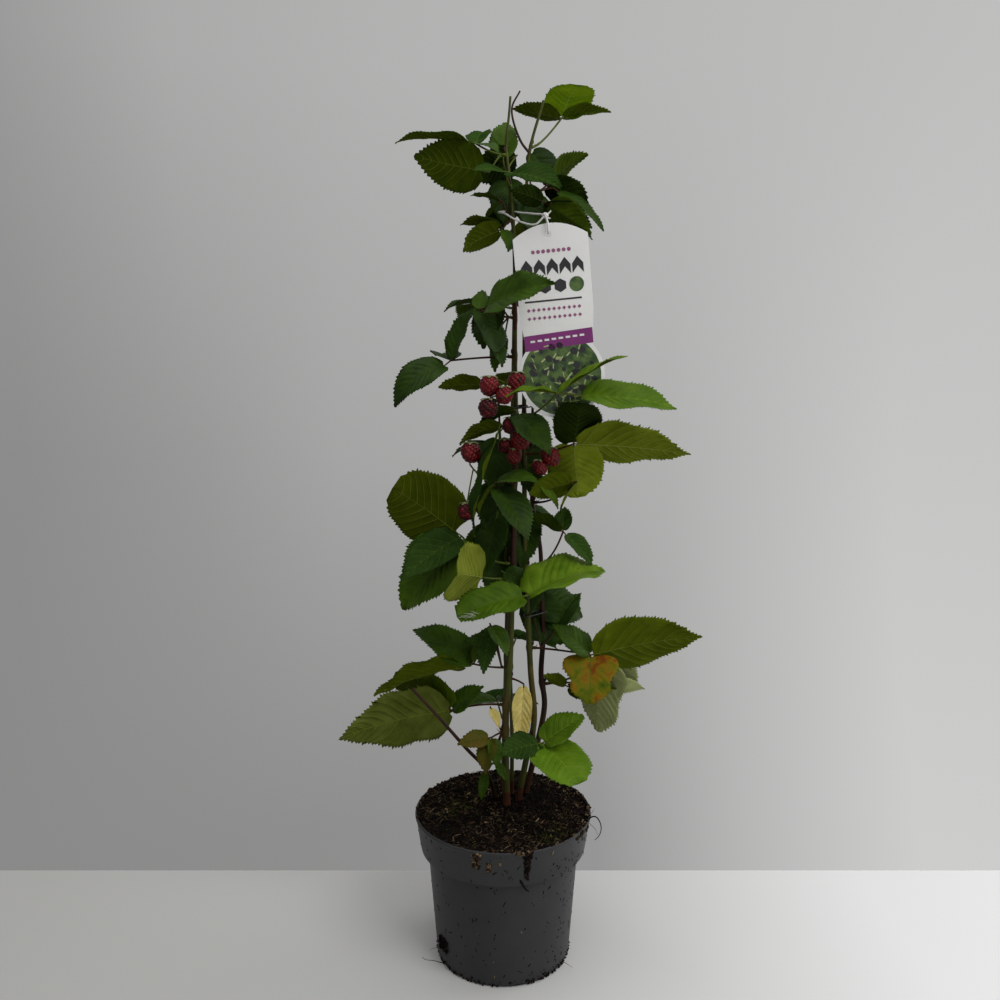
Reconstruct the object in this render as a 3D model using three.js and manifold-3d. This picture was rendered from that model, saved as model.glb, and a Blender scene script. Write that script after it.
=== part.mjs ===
// A potted bramble: five canes in a round nursery pot, with leaves, fruit and a hanging card.
// Millimetres, +Z up, +Y away from the front. The origin is the centre of the pot's underside.
import * as THREE from 'three';
import { mergeVertices } from 'three/addons/utils/BufferGeometryUtils.js';
import Module from 'manifold-3d';

const wasm = await Module();
wasm.setup();

// Driving dimensions
const CLEARANCE = 0.3;
const WELD_DISTANCE = 1e-4;
const POT = {
  height: 160, rimRadius: 95, bandRadius: 89, bandFoot: 121, neckRadius: 81.5, baseRadius: 72.4,
  wall: 2, floor: 3, lipDepth: 3, lipStep: 0.5, edgeRound: 2, sides: 32,
};
const SOIL = {
  centre: 162, flatRadius: 52, rimRise: 1.5, edgeDrop: 4, edgeGap: 1, rings: 3, sides: 24,
  bump: 0.8, waves: [3, 5], wavePitch: [0.21, 0.13], margin: 1,
};
const CANE = { sides: 6, step: 36, fewestSteps: 6, taperPower: 1.4, roughness: 0.6 };
const PETIOLE = {
  sides: 3, rootRadius: 1.6, tipRadius: 1.1, steps: 3, leafletRadius: 0.9, bow: 0.45,
  forkShare: 0.18, forkLift: 1.5, seam: [0.31, 0.17, 1],
};
const LEAFLET = {
  widthRatio: 0.66, thicknessRatio: 0.026, droop: 24, fold: 13, stalkRatio: 0.12, sideStalk: 2,
  stations: [0.05, 0.25, 0.55, 0.82], widestPower: 0.72, fullnessPower: 0.6, tipTaper: 0.1,
};
const BERRY = { pedicelRadius: 0.8, tall: 1.12, sunk: 0.35, spacing: 0.12 };
const BACK = {
  count: 8, firstHeight: 240, heightStep: 76, changeHeight: 720, seed: 4711, sideShare: 0.8, spread: 76,
  swing: [14, 40], length: [56, 76], rise: [-26, -6], reach: [24, 36], lift: [6, 14], bank: [-8, 8],
};
const TAG = {
  width: 73, shoulder: 84, hump: 20, discRadius: 43, discDrop: 147, thickness: 1.4, waist: 33,
  holeRadius: 3, holeOffset: -1.6, holeDrop: 10.5, holeSides: 12, origin: [44, -27, 772],
  lean: -5.6, tilt: 4.2, humpFall: 0.62, humpBow: 0.5, curveSegments: 10,
};
const LOOP = {
  radius: 0.9, sides: 4, segments: 56, knotRadius: 3.4, knot: [40.5, -26.6, 779],
  path: [
    [43.4, -27, 762.2], [43.2, -22.6, 767], [41.8, -23.6, 775], [40.5, -25, 779], [28, -14, 783],
    [15, 2, 787], [8, 8, 789], [-1, 4, 788], [-5, -4, 786], [1, -9.5, 784], [14, -16, 776],
    [31, -26, 771], [40, -28.5, 778], [42.6, -31.4, 772], [43.3, -31, 765],
  ],
};
const SHOOT = {
  name: 'shoot_bare', cane: 'cane_second', height: 846, rootRadius: 1.4, tipRadius: 0.8, steps: 8,
  path: [[17, 12, 858], [8.4, 11.8, 888], [16.5, 12, 905]],
};

// Canes: where each runs, from its flat cut at the soil to its tip, and its radius at both ends
const CANES = {
  cane_front: {
    foot: 4.0, tip: 1.1, colour: 0x66652f,
    path: [
      [4, 4, 0], [3, 4, 210], [3, 2, 266], [7, 2, 325], [9, 4, 389], [11, 6, 454], [12, 6, 518],
      [13, 6, 580], [12, 4, 642], [12, 3, 702], [11, 2, 752], [8, 2, 800], [5, 3, 829], [3, 4, 848],
      [6, 6, 885], [7, 6, 898],
    ],
  },
  cane_second: {
    foot: 3.3, tip: 1.3, colour: 0x5c6b2b,
    path: [
      [17, 16, 0], [25, 15, 206], [34, 14, 254], [30, 14, 308], [28, 14, 345], [24, 14, 422],
      [23, 15, 476], [22, 16, 560], [22, 16, 642], [22, 14, 722], [23, 13, 791], [26, 12, 846],
      [40, 12, 896],
    ],
  },
  cane_dark: {
    foot: 3.3, tip: 1.2, colour: 0x4a2f22,
    path: [
      [26, 34, 0], [35, 32, 205], [46, 30, 266], [42, 30, 300], [44, 29, 345], [42, 28, 389],
      [40, 27, 443], [32, 28, 486], [30, 28, 528], [31, 28, 580], [32, 28, 640],
    ],
  },
  cane_thin: {
    foot: 2.3, tip: 1.1, colour: 0x5d5a2c,
    path: [
      [10, 30, 0], [10, 30, 233], [8, 28, 300], [4, 26, 389], [2, 24, 454], [-1, 22, 518],
      [-3, 18, 560], [-5, 14, 604],
    ],
  },
  cane_back: {
    foot: 2.8, tip: 1.2, colour: 0x4f5c2a,
    path: [
      [0, 46, 0], [2, 44, 230], [4, 44, 330], [6, 44, 430], [8, 44, 520], [10, 42, 600],
      [11, 36, 680], [12, 30, 740],
    ],
  },
  cane_cut: {
    foot: 2.1, tip: 1.5, colour: 0x4a2624,
    path: [
      [-9, 22, 0], [-13, 16, 182], [-20, 9, 202], [-38, -2, 227], [-67, -14, 267], [-95, -25, 304],
    ],
  },
};

// Leaves by the mass that they belong to. An arm is a leaf stalk that ends at its joint, and its
// blades are leaflets: length, heading, rise and bank of the blade, then droop, width ratio and stalk
// where they aren't the usual ones. Heading 0 is to the right and 90 is to the back.
const MASSES = [
  {
    name: 'leaves_top_right', cane: 'cane_second', height: 852, bow: 0.2, arms: [
      {
        joint: [59, 30, 884],
        blades: [[55, 60, 47, 19, 26, 0.91, 4], [50, 178, 12, 14, 10], [49, 2, 8, -12, 10]],
      },
    ],
  },
  {
    name: 'leaves_top_left', cane: 'cane_front', height: 842, arms: [
      { joint: [-27, -5, 851], blades: [[71, 186, 0, -8, 25, 0.7], [40, 75, 30, 0], [36, -50, -22, 10]] },
      { joint: [-14, -14, 822], blades: [[70, 168, 14, 66, 12, 0.76]] },
    ],
  },
  {
    name: 'leaves_top_centre', cane: 'cane_front', height: 828, arms: [
      { joint: [0, 13, 838], blades: [[40, 84, 72, 0, 24, 0.76], [40, 140, 4, 0]] },
      { joint: [3, 18, 854], blades: [[42, 110, -66, 0, 20, 0.85]] },
    ],
  },
  {
    name: 'leaves_top_front', cane: 'cane_front', height: 812, arms: [
      { joint: [2, -26, 820], blades: [[62, -38, -19, 30], [34, -150, -4, -30]] },
    ],
  },
  {
    name: 'leaves_top_back', cane: 'cane_second', height: 806, arms: [
      { joint: [44, 14, 816], blades: [[50, 20, 38, -40], [44, 120, 42, 0], [48, 8, -28, -40, 20, 0.8]] },
      { joint: [40, -4, 796], blades: [[52, -10, -34, -60], [34, -168, 16, 60], [58, 24, -20, 0]] },
    ],
  },
  {
    name: 'leaves_high_left', cane: 'cane_front', height: 778, arms: [
      { joint: [0, -9, 770], blades: [[42, -172, -28, 42, 20, 0.8], [42, 172, 8, 10], [24, -60, -66, 0]] },
      { joint: [-2, -9, 796], blades: [[28, -170, 8, 0], [24, 170, -48, 0]] },
    ],
  },
  {
    name: 'leaves_upper_left', cane: 'cane_front', height: 684, arms: [
      {
        joint: [-24, -17, 690],
        blades: [[80, -34, 15, 48, 20], [26, 80, 50, 0], [46, -40, -60, 0, 20, 0.9]],
      },
      { joint: [-12, -4, 662], blades: [[32, -60, -50, 0]] },
    ],
  },
  {
    name: 'leaves_left_arching', cane: 'cane_front', height: 645, arms: [
      {
        joint: [-53, -5, 641],
        blades: [[72, -170, -38, -35, 75], [58, 14, 66, 30, 20, 0.46], [50, 112, 8, 0]],
      },
    ],
  },
  {
    name: 'leaves_left_level', cane: 'cane_thin', height: 600, arms: [
      { joint: [-18, 8, 617], blades: [[44, -176, -3, 34, 20, 0.7]] },
    ],
  },
  {
    name: 'leaves_right_high', cane: 'cane_second', height: 584, root: -80, bow: 0.6, arms: [
      {
        joint: [53, -46, 609],
        blades: [
          [92, -6, -6, 27, 20, 0.6, 24], [74, -3, 31, 8, 10, 0.4], [50, -170, 0, -6, 20, 0.5],
        ],
      },
    ],
  },
  {
    name: 'leaves_right_middle', cane: 'cane_second', height: 545, arms: [
      {
        joint: [72, -7, 557],
        blades: [[117, -1, -5, -46, 8, 0.55, 3], [54, -85, 50, 0, 24, 0.95], [62, 75, -66, -10, 16, 1]],
      },
    ],
  },
  {
    name: 'leaves_right_inner', cane: 'cane_dark', height: 492, arms: [
      { joint: [76, -4, 518], blades: [[46, 182, -14, 64, 10, 0.76], [38, -150, -56, 30, 20, 0.45]] },
    ],
  },
  {
    name: 'leaves_front_high', cane: 'cane_front', height: 586, arms: [
      { joint: [12, -15, 592], blades: [[60, -50, -38, 10], [40, 172, -24, 30]] },
      { joint: [4, -14, 578], blades: [[48, 178, -22, 30]] },
    ],
  },
  {
    name: 'leaves_front_hanging', cane: 'cane_front', height: 566, arms: [
      { joint: [-3, -25, 578], blades: [[104, -140, -70, 32, 14, 0.42]] },
    ],
  },
  {
    name: 'leaves_front_middle', cane: 'cane_front', height: 518, arms: [
      { joint: [-8, -26, 520], blades: [[66, -51, -46, 0], [48, -30, 4, 20], [36, 176, -62, 0, 20, 0.8]] },
    ],
  },
  {
    name: 'leaves_right_lower', cane: 'cane_second', height: 424, arms: [
      { joint: [62, -6, 466], blades: [[42, -20, -46, 20], [42, 168, 22, 40], [30, 80, 48, 0]] },
    ],
  },
  {
    name: 'leaves_centre_left', cane: 'cane_thin', height: 474, arms: [
      { joint: [-12, 12, 478], blades: [[70, 165, -66, 40, 14, 0.56], [40, 130, 10, 0]] },
    ],
  },
  {
    name: 'leaves_left_middle', cane: 'cane_front', height: 430, arms: [
      {
        joint: [-43, -5, 461],
        blades: [
          [80, 173, 34, 72, 12, 1.09, 8], [76, -156, -31, -36, 24, 0.66, 3], [100, 178, -50, -50, 10, 0.8],
        ],
      },
    ],
  },
  {
    name: 'leaves_left_pale', cane: 'cane_front', height: 416, arms: [
      { joint: [-18, -28, 422], blades: [[66, -114, 15, 74, 8, 1]] },
    ],
  },
  {
    name: 'leaves_front_low', cane: 'cane_second', height: 398, arms: [
      { joint: [23, -50, 409], blades: [[69, -166, -13, -32, 12, 0.65, 4], [88, 21, 13, 6, 29, 0.86, 3]] },
    ],
  },
  {
    name: 'leaves_low_left_upper', cane: 'cane_front', height: 318, arms: [
      { joint: [-31, -6, 324], blades: [[100, -178, -17, 34], [76, 163, 27, -20], [42, 40, 62, -60]] },
      { joint: [-6, -8, 346], blades: [[32, -170, 10, -40]] },
    ],
  },
  {
    name: 'leaves_low_left', cane: 'cane_front', height: 276, arms: [
      {
        joint: [-56, 18, 264],
        blades: [[122, 190, -11, 82, 10, 0.58, 3], [74, 160, 22, 72, 16, 0.8], [44, -8, 40, 40]],
      },
    ],
  },
  {
    name: 'leaves_low_wilted', cane: 'cane_front', height: 246, arms: [
      { joint: [-12, -6, 243], blades: [[34, -166, -6, -40], [37, -112, -58, 8], [30, -60, -66, 0]] },
    ],
  },
  {
    name: 'leaves_low_right', cane: 'cane_second', height: 336, arms: [
      {
        joint: [93, 0, 332],
        blades: [[117, 0, 10, -62, 10, 0.68, 3], [50, 165, 36, -34], [50, -95, -58, 0, 20, 1.25]],
      },
      { joint: [52, 20, 348], blades: [[60, 50, 34, 0]] },
    ],
  },
  {
    name: 'leaves_low_right_pale', cane: 'cane_dark', height: 290, arms: [
      { joint: [104, 26, 321], blades: [[84, 76, -84, 34, 8, 0.94, 5], [56, 24, -44, -44, 11, 0.9, 5]] },
      { joint: [70, 12, 293], blades: [[28, -170, 28, 60], [32, -30, -12, 40], [56, 6, -6, -20]] },
    ],
  },
  {
    name: 'leaves_bottom_front', cane: 'cane_second', height: 236, arms: [
      {
        joint: [40, -56, 258],
        blades: [[44, -150, -2, -26, 20, 0.8], [48, 10, 32, 20, 20, 0.85], [59, -55, -20, 5, 15, 1]],
      },
    ],
  },
];

const DRY_LEAF = {
  name: 'dry_leaf', cane: 'cane_front', height: 306, arms: [
    { joint: [22, -6, 302], blades: [[68, -105, -80, 0, 6, 0.34, 3]] },
  ],
};

// The back of the crown repeats one leaf up the canes, turned and sized by a seeded rule
function backMasses() {
  const random = seeded(BACK.seed);
  const pick = ([low, high]) => THREE.MathUtils.lerp(low, high, random());
  const masses = [];
  for (let i = 0; i < BACK.count; i += 1) {
    const height = BACK.firstHeight + BACK.heightStep * i;
    const cane = height < BACK.changeHeight ? 'cane_back' : 'cane_second';
    const heading = 90 + (i % 2 === 0 ? 1 : -1) * pick(BACK.swing);
    const length = pick(BACK.length);
    const rise = pick(BACK.rise);
    const reach = pick(BACK.reach);
    const joint = canePoint(CANES[cane], height).centre.clone();
    joint.x += reach * Math.cos(radians(heading));
    joint.y += reach * Math.sin(radians(heading));
    joint.z += pick(BACK.lift);
    const blades = [0, BACK.spread, -BACK.spread].map((turn, k) => (
      [k === 0 ? length : length * BACK.sideShare, heading + turn, rise, pick(BACK.bank)]
    ));
    masses.push({ name: `leaves_back_${i + 1}`, cane, height, arms: [{ joint: joint.toArray(), blades }] });
  }
  return masses;
}

// Fruit by the spray that it hangs in: centre and radius of each berry
const FRUIT = [
  {
    name: 'fruit_high', cane: 'cane_thin', height: 598, end: [2, -24, 618],
    berries: [[-14, -30, 616, 9.5], [13, -26, 621, 8.5], [1, -34, 607, 8.5], [-15, -28, 594, 9.5]],
  },
  {
    name: 'fruit_middle', cane: 'cane_front', height: 552, end: [12, -22, 572],
    berries: [[7, -24, 577, 8], [17, -26, 562, 9.5], [11, -26, 546, 7.5], [2, -22, 556, 7]],
  },
  {
    name: 'fruit_left', cane: 'cane_thin', height: 512, end: [-34, -10, 536],
    berries: [[-33, -14, 549, 10], [-37, -18, 489, 9]],
  },
  {
    name: 'fruit_right', cane: 'cane_second', height: 532, end: [42, -10, 556],
    berries: [[48, -16, 545, 9.5], [37, -16, 534, 7.5]],
  },
];

const COLOURS = {
  pot: [0x3f4043, 0.55], soil: [0x241a12, 0.95], leaf: [0x3c6a1f, 0.6], fruit: [0x8c1420, 0.35],
  dry: [0xc9b77a, 0.85], shoot: [0x4c3c26, 0.6], card: [0xe8e8e6, 0.35], loop: [0xe6e6e2, 0.4],
};

// A generator that gives the same numbers each time
const GENERATOR = { factor: 16807, modulus: 2147483647 };

function seeded(seed) {
  let state = seed;
  return () => {
    state = (state * GENERATOR.factor) % GENERATOR.modulus;
    return state / GENERATOR.modulus;
  };
}

const radians = (degrees) => (degrees * Math.PI) / 180;
const vector = (values) => new THREE.Vector3(values[0], values[1], values[2]);

function geometryFrom(points, faces) {
  const geometry = new THREE.BufferGeometry();
  geometry.setAttribute('position', new THREE.Float32BufferAttribute(points.flatMap((p) => p.toArray()), 3));
  geometry.setIndex(faces.flat());
  return geometry;
}

function weld(geometry) {
  const bare = geometry.clone();
  bare.deleteAttribute('normal');
  bare.deleteAttribute('uv');
  return mergeVertices(bare, WELD_DISTANCE);
}

function solidFrom(geometry) {
  const merged = weld(geometry);
  return new wasm.Manifold(new wasm.Mesh({
    numProp: 3,
    vertProperties: new Float32Array(merged.attributes.position.array),
    triVerts: new Uint32Array(merged.index.array),
  }));
}

function geometryOf(solid) {
  const mesh = solid.getMesh();
  const geometry = new THREE.BufferGeometry();
  geometry.setAttribute('position', new THREE.BufferAttribute(new Float32Array(mesh.vertProperties), 3));
  geometry.setIndex(new THREE.BufferAttribute(new Uint32Array(mesh.triVerts), 1));
  return geometry;
}

// Joins solids, drops loose scraps and fills any hollow that the join sealed
function fuse(solids) {
  let joined = solids[0];
  for (const solid of solids.slice(1)) {
    joined = joined.add(solid);
  }
  const bodies = joined.decompose();
  bodies.sort((a, b) => b.volume() - a.volume());
  return bodies[0];
}

// Skins rings of equal size, each given anticlockwise about the way forward, and ends in a tip
// point or a flat cap
function skin(rings, tip) {
  const sides = rings[0].length;
  const points = rings.flat();
  const faces = [];
  for (let i = 0; i + 1 < rings.length; i += 1) {
    for (let k = 0; k < sides; k += 1) {
      const a = i * sides + k;
      const b = i * sides + ((k + 1) % sides);
      faces.push([a, b, b + sides], [a, b + sides, a + sides]);
    }
  }
  const last = (rings.length - 1) * sides;
  for (let k = 1; k + 1 < sides; k += 1) {
    faces.push([0, k + 1, k]);
    if (!tip) {
      faces.push([last, last + k, last + k + 1]);
    }
  }
  if (tip) {
    points.push(tip);
    for (let k = 0; k < sides; k += 1) {
      faces.push([last + k, last + ((k + 1) % sides), points.length - 1]);
    }
  }
  return solidFrom(geometryFrom(points, faces));
}

function ring(centre, tangent, normal, radius, sides) {
  const across = tangent.clone().cross(normal);
  const points = [];
  for (let k = 0; k < sides; k += 1) {
    const turn = (2 * Math.PI * k) / sides;
    const point = centre.clone().addScaledVector(normal, radius * Math.cos(turn));
    points.push(point.addScaledVector(across, radius * Math.sin(turn)));
  }
  return points;
}

// A tapering limb along a row of centres, whose first cut is square to firstTangent
function limb(centres, radii, sides, firstTangent, firstNormal) {
  const normal = firstNormal.clone();
  const rings = centres.map((centre, i) => {
    const before = centres[Math.max(0, i - 1)];
    const after = centres[Math.min(centres.length - 1, i + 1)];
    const tangent = i === 0 ? firstTangent.clone() : after.clone().sub(before).normalize();
    normal.addScaledVector(tangent, -normal.dot(tangent)).normalize();
    return ring(centre, tangent, normal, radii[i], sides);
  });
  return skin(rings);
}

// Canes
const soilTop = SOIL.centre + CLEARANCE;

function caneCurve(cane) {
  const path = cane.path.map(vector);
  path[0].z = soilTop;
  return new THREE.CatmullRomCurve3(path, false, 'centripetal');
}

function caneRadius(cane, share) {
  return THREE.MathUtils.lerp(cane.foot, cane.tip, share ** CANE.taperPower);
}

function caneRings(cane) {
  const curve = caneCurve(cane);
  const count = Math.max(CANE.fewestSteps, Math.round(curve.getLength() / CANE.step));
  const centres = curve.getSpacedPoints(count);
  const radii = centres.map((centre, i) => caneRadius(cane, i / count));
  return { centres, radii };
}

function caneSolid(cane) {
  const { centres, radii } = caneRings(cane);
  return limb(centres, radii, CANE.sides, new THREE.Vector3(0, 0, 1), new THREE.Vector3(0, 1, 0));
}

function canePoint(cane, height) {
  const { centres, radii } = caneRings(cane);
  let i = 1;
  while (i < centres.length - 1 && centres[i].z < height) {
    i += 1;
  }
  const share = (height - centres[i - 1].z) / (centres[i].z - centres[i - 1].z);
  return {
    centre: centres[i - 1].clone().lerp(centres[i], share),
    radius: THREE.MathUtils.lerp(radii[i - 1], radii[i], share),
  };
}

// Stalks
function stalkCurve(start, out, end, bow = PETIOLE.bow) {
  const reach = start.distanceTo(end);
  const middle = start.clone().addScaledVector(out, reach * bow);
  return new THREE.QuadraticBezierCurve3(start, middle, end);
}

function stalkSolid(curve, rootRadius, tipRadius, steps, rootDirection) {
  const centres = curve.getPoints(steps);
  const radii = centres.map((centre, i) => THREE.MathUtils.lerp(rootRadius, tipRadius, i / steps));
  return limb(centres, radii, PETIOLE.sides, rootDirection, vector(PETIOLE.seam));
}

function caneRoot(mass) {
  const cane = CANES[mass.cane];
  const { centre, radius } = canePoint(cane, mass.height);
  const goal = vector(mass.arms ? mass.arms[0].joint : mass.end);
  let out = goal.clone().sub(centre).setZ(0).normalize();
  if (mass.root !== undefined) {
    out = new THREE.Vector3(Math.cos(radians(mass.root)), Math.sin(radians(mass.root)), 0);
  }
  return { start: centre.clone().addScaledVector(out, radius + CLEARANCE), out };
}

// Leaflets
function bladeFrame(heading, rise, bank) {
  const az = radians(heading);
  const el = radians(rise);
  const roll = radians(bank);
  const along = new THREE.Vector3(Math.cos(el) * Math.cos(az), Math.cos(el) * Math.sin(az), Math.sin(el));
  const level = new THREE.Vector3(-Math.sin(az), Math.cos(az), 0);
  const above = along.clone().cross(level);
  const side = level.clone().multiplyScalar(Math.cos(roll)).addScaledVector(above, Math.sin(roll));
  const up = above.clone().multiplyScalar(Math.cos(roll)).addScaledVector(level, -Math.sin(roll));
  return { along, side, up };
}

function bladeOutline(t) {
  const arch = Math.sin(Math.PI * t ** LEAFLET.widestPower) ** LEAFLET.fullnessPower;
  return arch * (1 - LEAFLET.tipTaper * t * t);
}

// The midrib bends evenly, so that the chord from root to tip keeps the stated heading and rise
function midrib(root, frame, length, droop, t) {
  const bend = radians(droop);
  const along = frame.along.clone().multiplyScalar(Math.cos(bend / 2));
  along.addScaledVector(frame.up, Math.sin(bend / 2));
  const up = frame.up.clone().multiplyScalar(Math.cos(bend / 2));
  up.addScaledVector(frame.along, -Math.sin(bend / 2));
  const point = root.clone();
  point.addScaledVector(along, (length * Math.sin(bend * t)) / bend);
  point.addScaledVector(up, (-length * (1 - Math.cos(bend * t))) / bend);
  const normal = up.clone().multiplyScalar(Math.cos(bend * t)).addScaledVector(along, Math.sin(bend * t));
  return { point, normal };
}

// A leaflet is one skin: its short stalk, then a folded blade that is thickest at the midrib
function leafletSolid(joint, blade, stalk) {
  const [length, heading, rise, bank, droop = LEAFLET.droop, ratio = LEAFLET.widthRatio] = blade;
  const frame = bladeFrame(heading, rise, bank);
  const root = joint.clone().addScaledVector(frame.along, stalk);
  const start = joint.clone().addScaledVector(frame.along, -PETIOLE.leafletRadius);
  const fold = radians(LEAFLET.fold);
  const section = (centre, normal, width, half) => {
    const lift = normal.clone().multiplyScalar(width * Math.sin(fold));
    const reach = frame.side.clone().multiplyScalar(width * Math.cos(fold));
    return [
      centre.clone().add(reach).add(lift), centre.clone().addScaledVector(normal, half),
      centre.clone().sub(reach).add(lift), centre.clone().addScaledVector(normal, -half),
    ];
  };
  const first = midrib(root, frame, length, droop, 0);
  const rings = [
    section(start, first.normal, PETIOLE.leafletRadius, PETIOLE.leafletRadius),
    section(first.point, first.normal, PETIOLE.leafletRadius, PETIOLE.leafletRadius),
  ];
  for (const t of LEAFLET.stations) {
    const { point, normal } = midrib(root, frame, length, droop, t);
    const width = (length * ratio * bladeOutline(t)) / 2;
    rings.push(section(point, normal, width, (length * LEAFLET.thicknessRatio) / 2));
  }
  return skin(rings, midrib(root, frame, length, droop, 1).point);
}

const placed = [];

function boxesMeet(a, b) {
  const p = a.boundingBox();
  const q = b.boundingBox();
  return [0, 1, 2].every((k) => p.min[k] < q.max[k] && q.min[k] < p.max[k]);
}

function isFree(solid) {
  return placed.every((other) => !boxesMeet(solid, other) || solid.intersect(other).isEmpty());
}

function massSolid(mass) {
  const { start, out } = caneRoot(mass);
  const pieces = [];
  mass.arms.forEach((arm, index) => {
    const joint = vector(arm.joint);
    const main = stalkCurve(start, out, vector(mass.arms[0].joint), mass.bow);
    const origin = index === 0 ? start : main.getPoint(PETIOLE.forkShare);
    const curve = index === 0 ? main : new THREE.QuadraticBezierCurve3(
      origin,
      origin.clone().lerp(joint, 0.5).add(new THREE.Vector3(0, 0, PETIOLE.forkLift)),
      joint,
    );
    const rootDirection = index === 0 ? out : curve.getTangent(0);
    const stalk = stalkSolid(curve, PETIOLE.rootRadius, PETIOLE.tipRadius, PETIOLE.steps, rootDirection);
    if (index > 0 && !isFree(stalk)) {
      return;
    }
    pieces.push(stalk);
    arm.blades.forEach((blade, k) => {
      const usual = k === 0 ? blade[0] * LEAFLET.stalkRatio : LEAFLET.sideStalk;
      const leaflet = leafletSolid(joint, blade, blade[6] ?? usual);
      if (isFree(leaflet)) {
        pieces.push(leaflet);
      }
    });
  });
  return fuse(pieces);
}

function fruitSolid(spray) {
  const { start, out } = caneRoot(spray);
  const curve = stalkCurve(start, out, vector(spray.end));
  const pieces = [stalkSolid(curve, PETIOLE.rootRadius, PETIOLE.tipRadius, PETIOLE.steps, out)];
  spray.berries.forEach(([x, y, z, radius], index) => {
    const centre = new THREE.Vector3(x, y, z);
    const origin = curve.getPoint(1 - BERRY.spacing * index);
    const top = centre.clone().add(new THREE.Vector3(0, 0, radius * (BERRY.tall - BERRY.sunk)));
    const pedicel = stalkSolid(
      new THREE.LineCurve3(origin, top), BERRY.pedicelRadius, BERRY.pedicelRadius, 1,
      top.clone().sub(origin).normalize(),
    );
    const ball = weld(new THREE.IcosahedronGeometry(1, 1));
    ball.scale(radius, radius, radius * BERRY.tall);
    ball.translate(x, y, z);
    pieces.push(pedicel, solidFrom(ball));
  });
  return fuse(pieces);
}

// Pot and soil
function innerRadius(z) {
  const share = THREE.MathUtils.clamp(z / POT.bandFoot, 0, 1);
  const body = THREE.MathUtils.lerp(POT.baseRadius, POT.neckRadius, share) - POT.wall;
  const rise = THREE.MathUtils.clamp((z - POT.bandFoot) / (POT.height - POT.bandFoot), 0, 1);
  const band = THREE.MathUtils.lerp(POT.bandRadius, POT.rimRadius, rise) - POT.wall;
  return z < POT.bandFoot + POT.wall ? body : band;
}

function potSolid() {
  const profile = [
    [0, 0], [POT.baseRadius - POT.edgeRound, 0], [POT.baseRadius, POT.edgeRound],
    [POT.neckRadius, POT.bandFoot], [POT.bandRadius, POT.bandFoot],
    [POT.rimRadius - POT.lipStep, POT.height - POT.lipDepth], [POT.rimRadius, POT.height - POT.lipDepth],
    [POT.rimRadius, POT.height], [POT.rimRadius - POT.wall, POT.height],
    [innerRadius(POT.bandFoot + POT.wall), POT.bandFoot + POT.wall],
    [innerRadius(POT.bandFoot), POT.bandFoot + POT.wall],
    [innerRadius(POT.floor), POT.floor], [0, POT.floor],
  ];
  const lathe = new THREE.LatheGeometry(profile.map(([r, z]) => new THREE.Vector2(r, z)), POT.sides);
  lathe.rotateX(Math.PI / 2);
  return lathe;
}

function soilSolid() {
  const edge = POT.rimRadius - POT.wall - 2 * CLEARANCE - SOIL.edgeGap;
  const neck = POT.bandFoot + POT.wall;
  const floor = POT.floor + CLEARANCE;
  const slack = 3 * CLEARANCE;
  const profile = [
    [0, floor], [innerRadius(POT.floor) - slack, floor],
    [innerRadius(POT.bandFoot) - slack, neck + CLEARANCE],
    [innerRadius(neck + SOIL.margin) - slack, neck + CLEARANCE], [edge, POT.height - SOIL.edgeDrop],
  ];
  for (let i = 1; i <= SOIL.rings; i += 1) {
    const share = i / SOIL.rings;
    const radius = THREE.MathUtils.lerp(edge, SOIL.flatRadius, share);
    profile.push([radius, SOIL.centre - (1 - share) * SOIL.rimRise]);
  }
  profile.push([0, SOIL.centre]);
  const lathe = new THREE.LatheGeometry(profile.map(([r, z]) => new THREE.Vector2(r, z)), SOIL.sides);
  lathe.rotateX(Math.PI / 2);
  const position = lathe.attributes.position;
  for (let i = 0; i < position.count; i += 1) {
    const x = position.getX(i);
    const y = position.getY(i);
    const radius = Math.hypot(x, y);
    if (position.getZ(i) > POT.height - SOIL.margin && radius > SOIL.flatRadius + SOIL.margin) {
      const angle = Math.atan2(y, x);
      const slow = Math.sin(SOIL.waves[0] * angle + radius * SOIL.wavePitch[0]);
      const quick = Math.cos(SOIL.waves[1] * angle - radius * SOIL.wavePitch[1]);
      position.setZ(i, position.getZ(i) + SOIL.bump * (slow + quick + Math.sin(angle)));
    }
  }
  return lathe;
}

// The card: a shield with a hump at its top, and a round lower end
function tagSolid() {
  const half = TAG.width / 2;
  const discTop = TAG.discDrop - Math.sqrt(TAG.discRadius ** 2 - TAG.waist ** 2);
  const from = Math.atan2(TAG.discDrop - discTop, TAG.waist);
  const shape = new THREE.Shape();
  shape.moveTo(-half, -TAG.shoulder);
  shape.lineTo(-half, -TAG.hump * TAG.humpFall);
  shape.quadraticCurveTo(-half * TAG.humpBow, 0, 0, 0);
  shape.quadraticCurveTo(half * TAG.humpBow, 0, half, -TAG.hump * TAG.humpFall);
  shape.lineTo(half, -TAG.shoulder);
  shape.absarc(0, -TAG.discDrop, TAG.discRadius, from, Math.PI - from, true);
  const hole = [];
  for (let k = 0; k < TAG.holeSides; k += 1) {
    const turn = (2 * Math.PI * k) / TAG.holeSides;
    const along = TAG.holeRadius * Math.cos(turn);
    hole.push(new THREE.Vector2(TAG.holeOffset + along, TAG.holeRadius * Math.sin(turn) - TAG.holeDrop));
  }
  shape.holes.push(new THREE.Path(hole));
  const card = new THREE.ExtrudeGeometry(shape, {
    depth: TAG.thickness, bevelEnabled: false, curveSegments: TAG.curveSegments,
  });
  card.rotateX(Math.PI / 2);
  card.rotateY(radians(TAG.lean));
  card.rotateX(radians(TAG.tilt));
  card.translate(...TAG.origin);
  return card;
}

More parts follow.
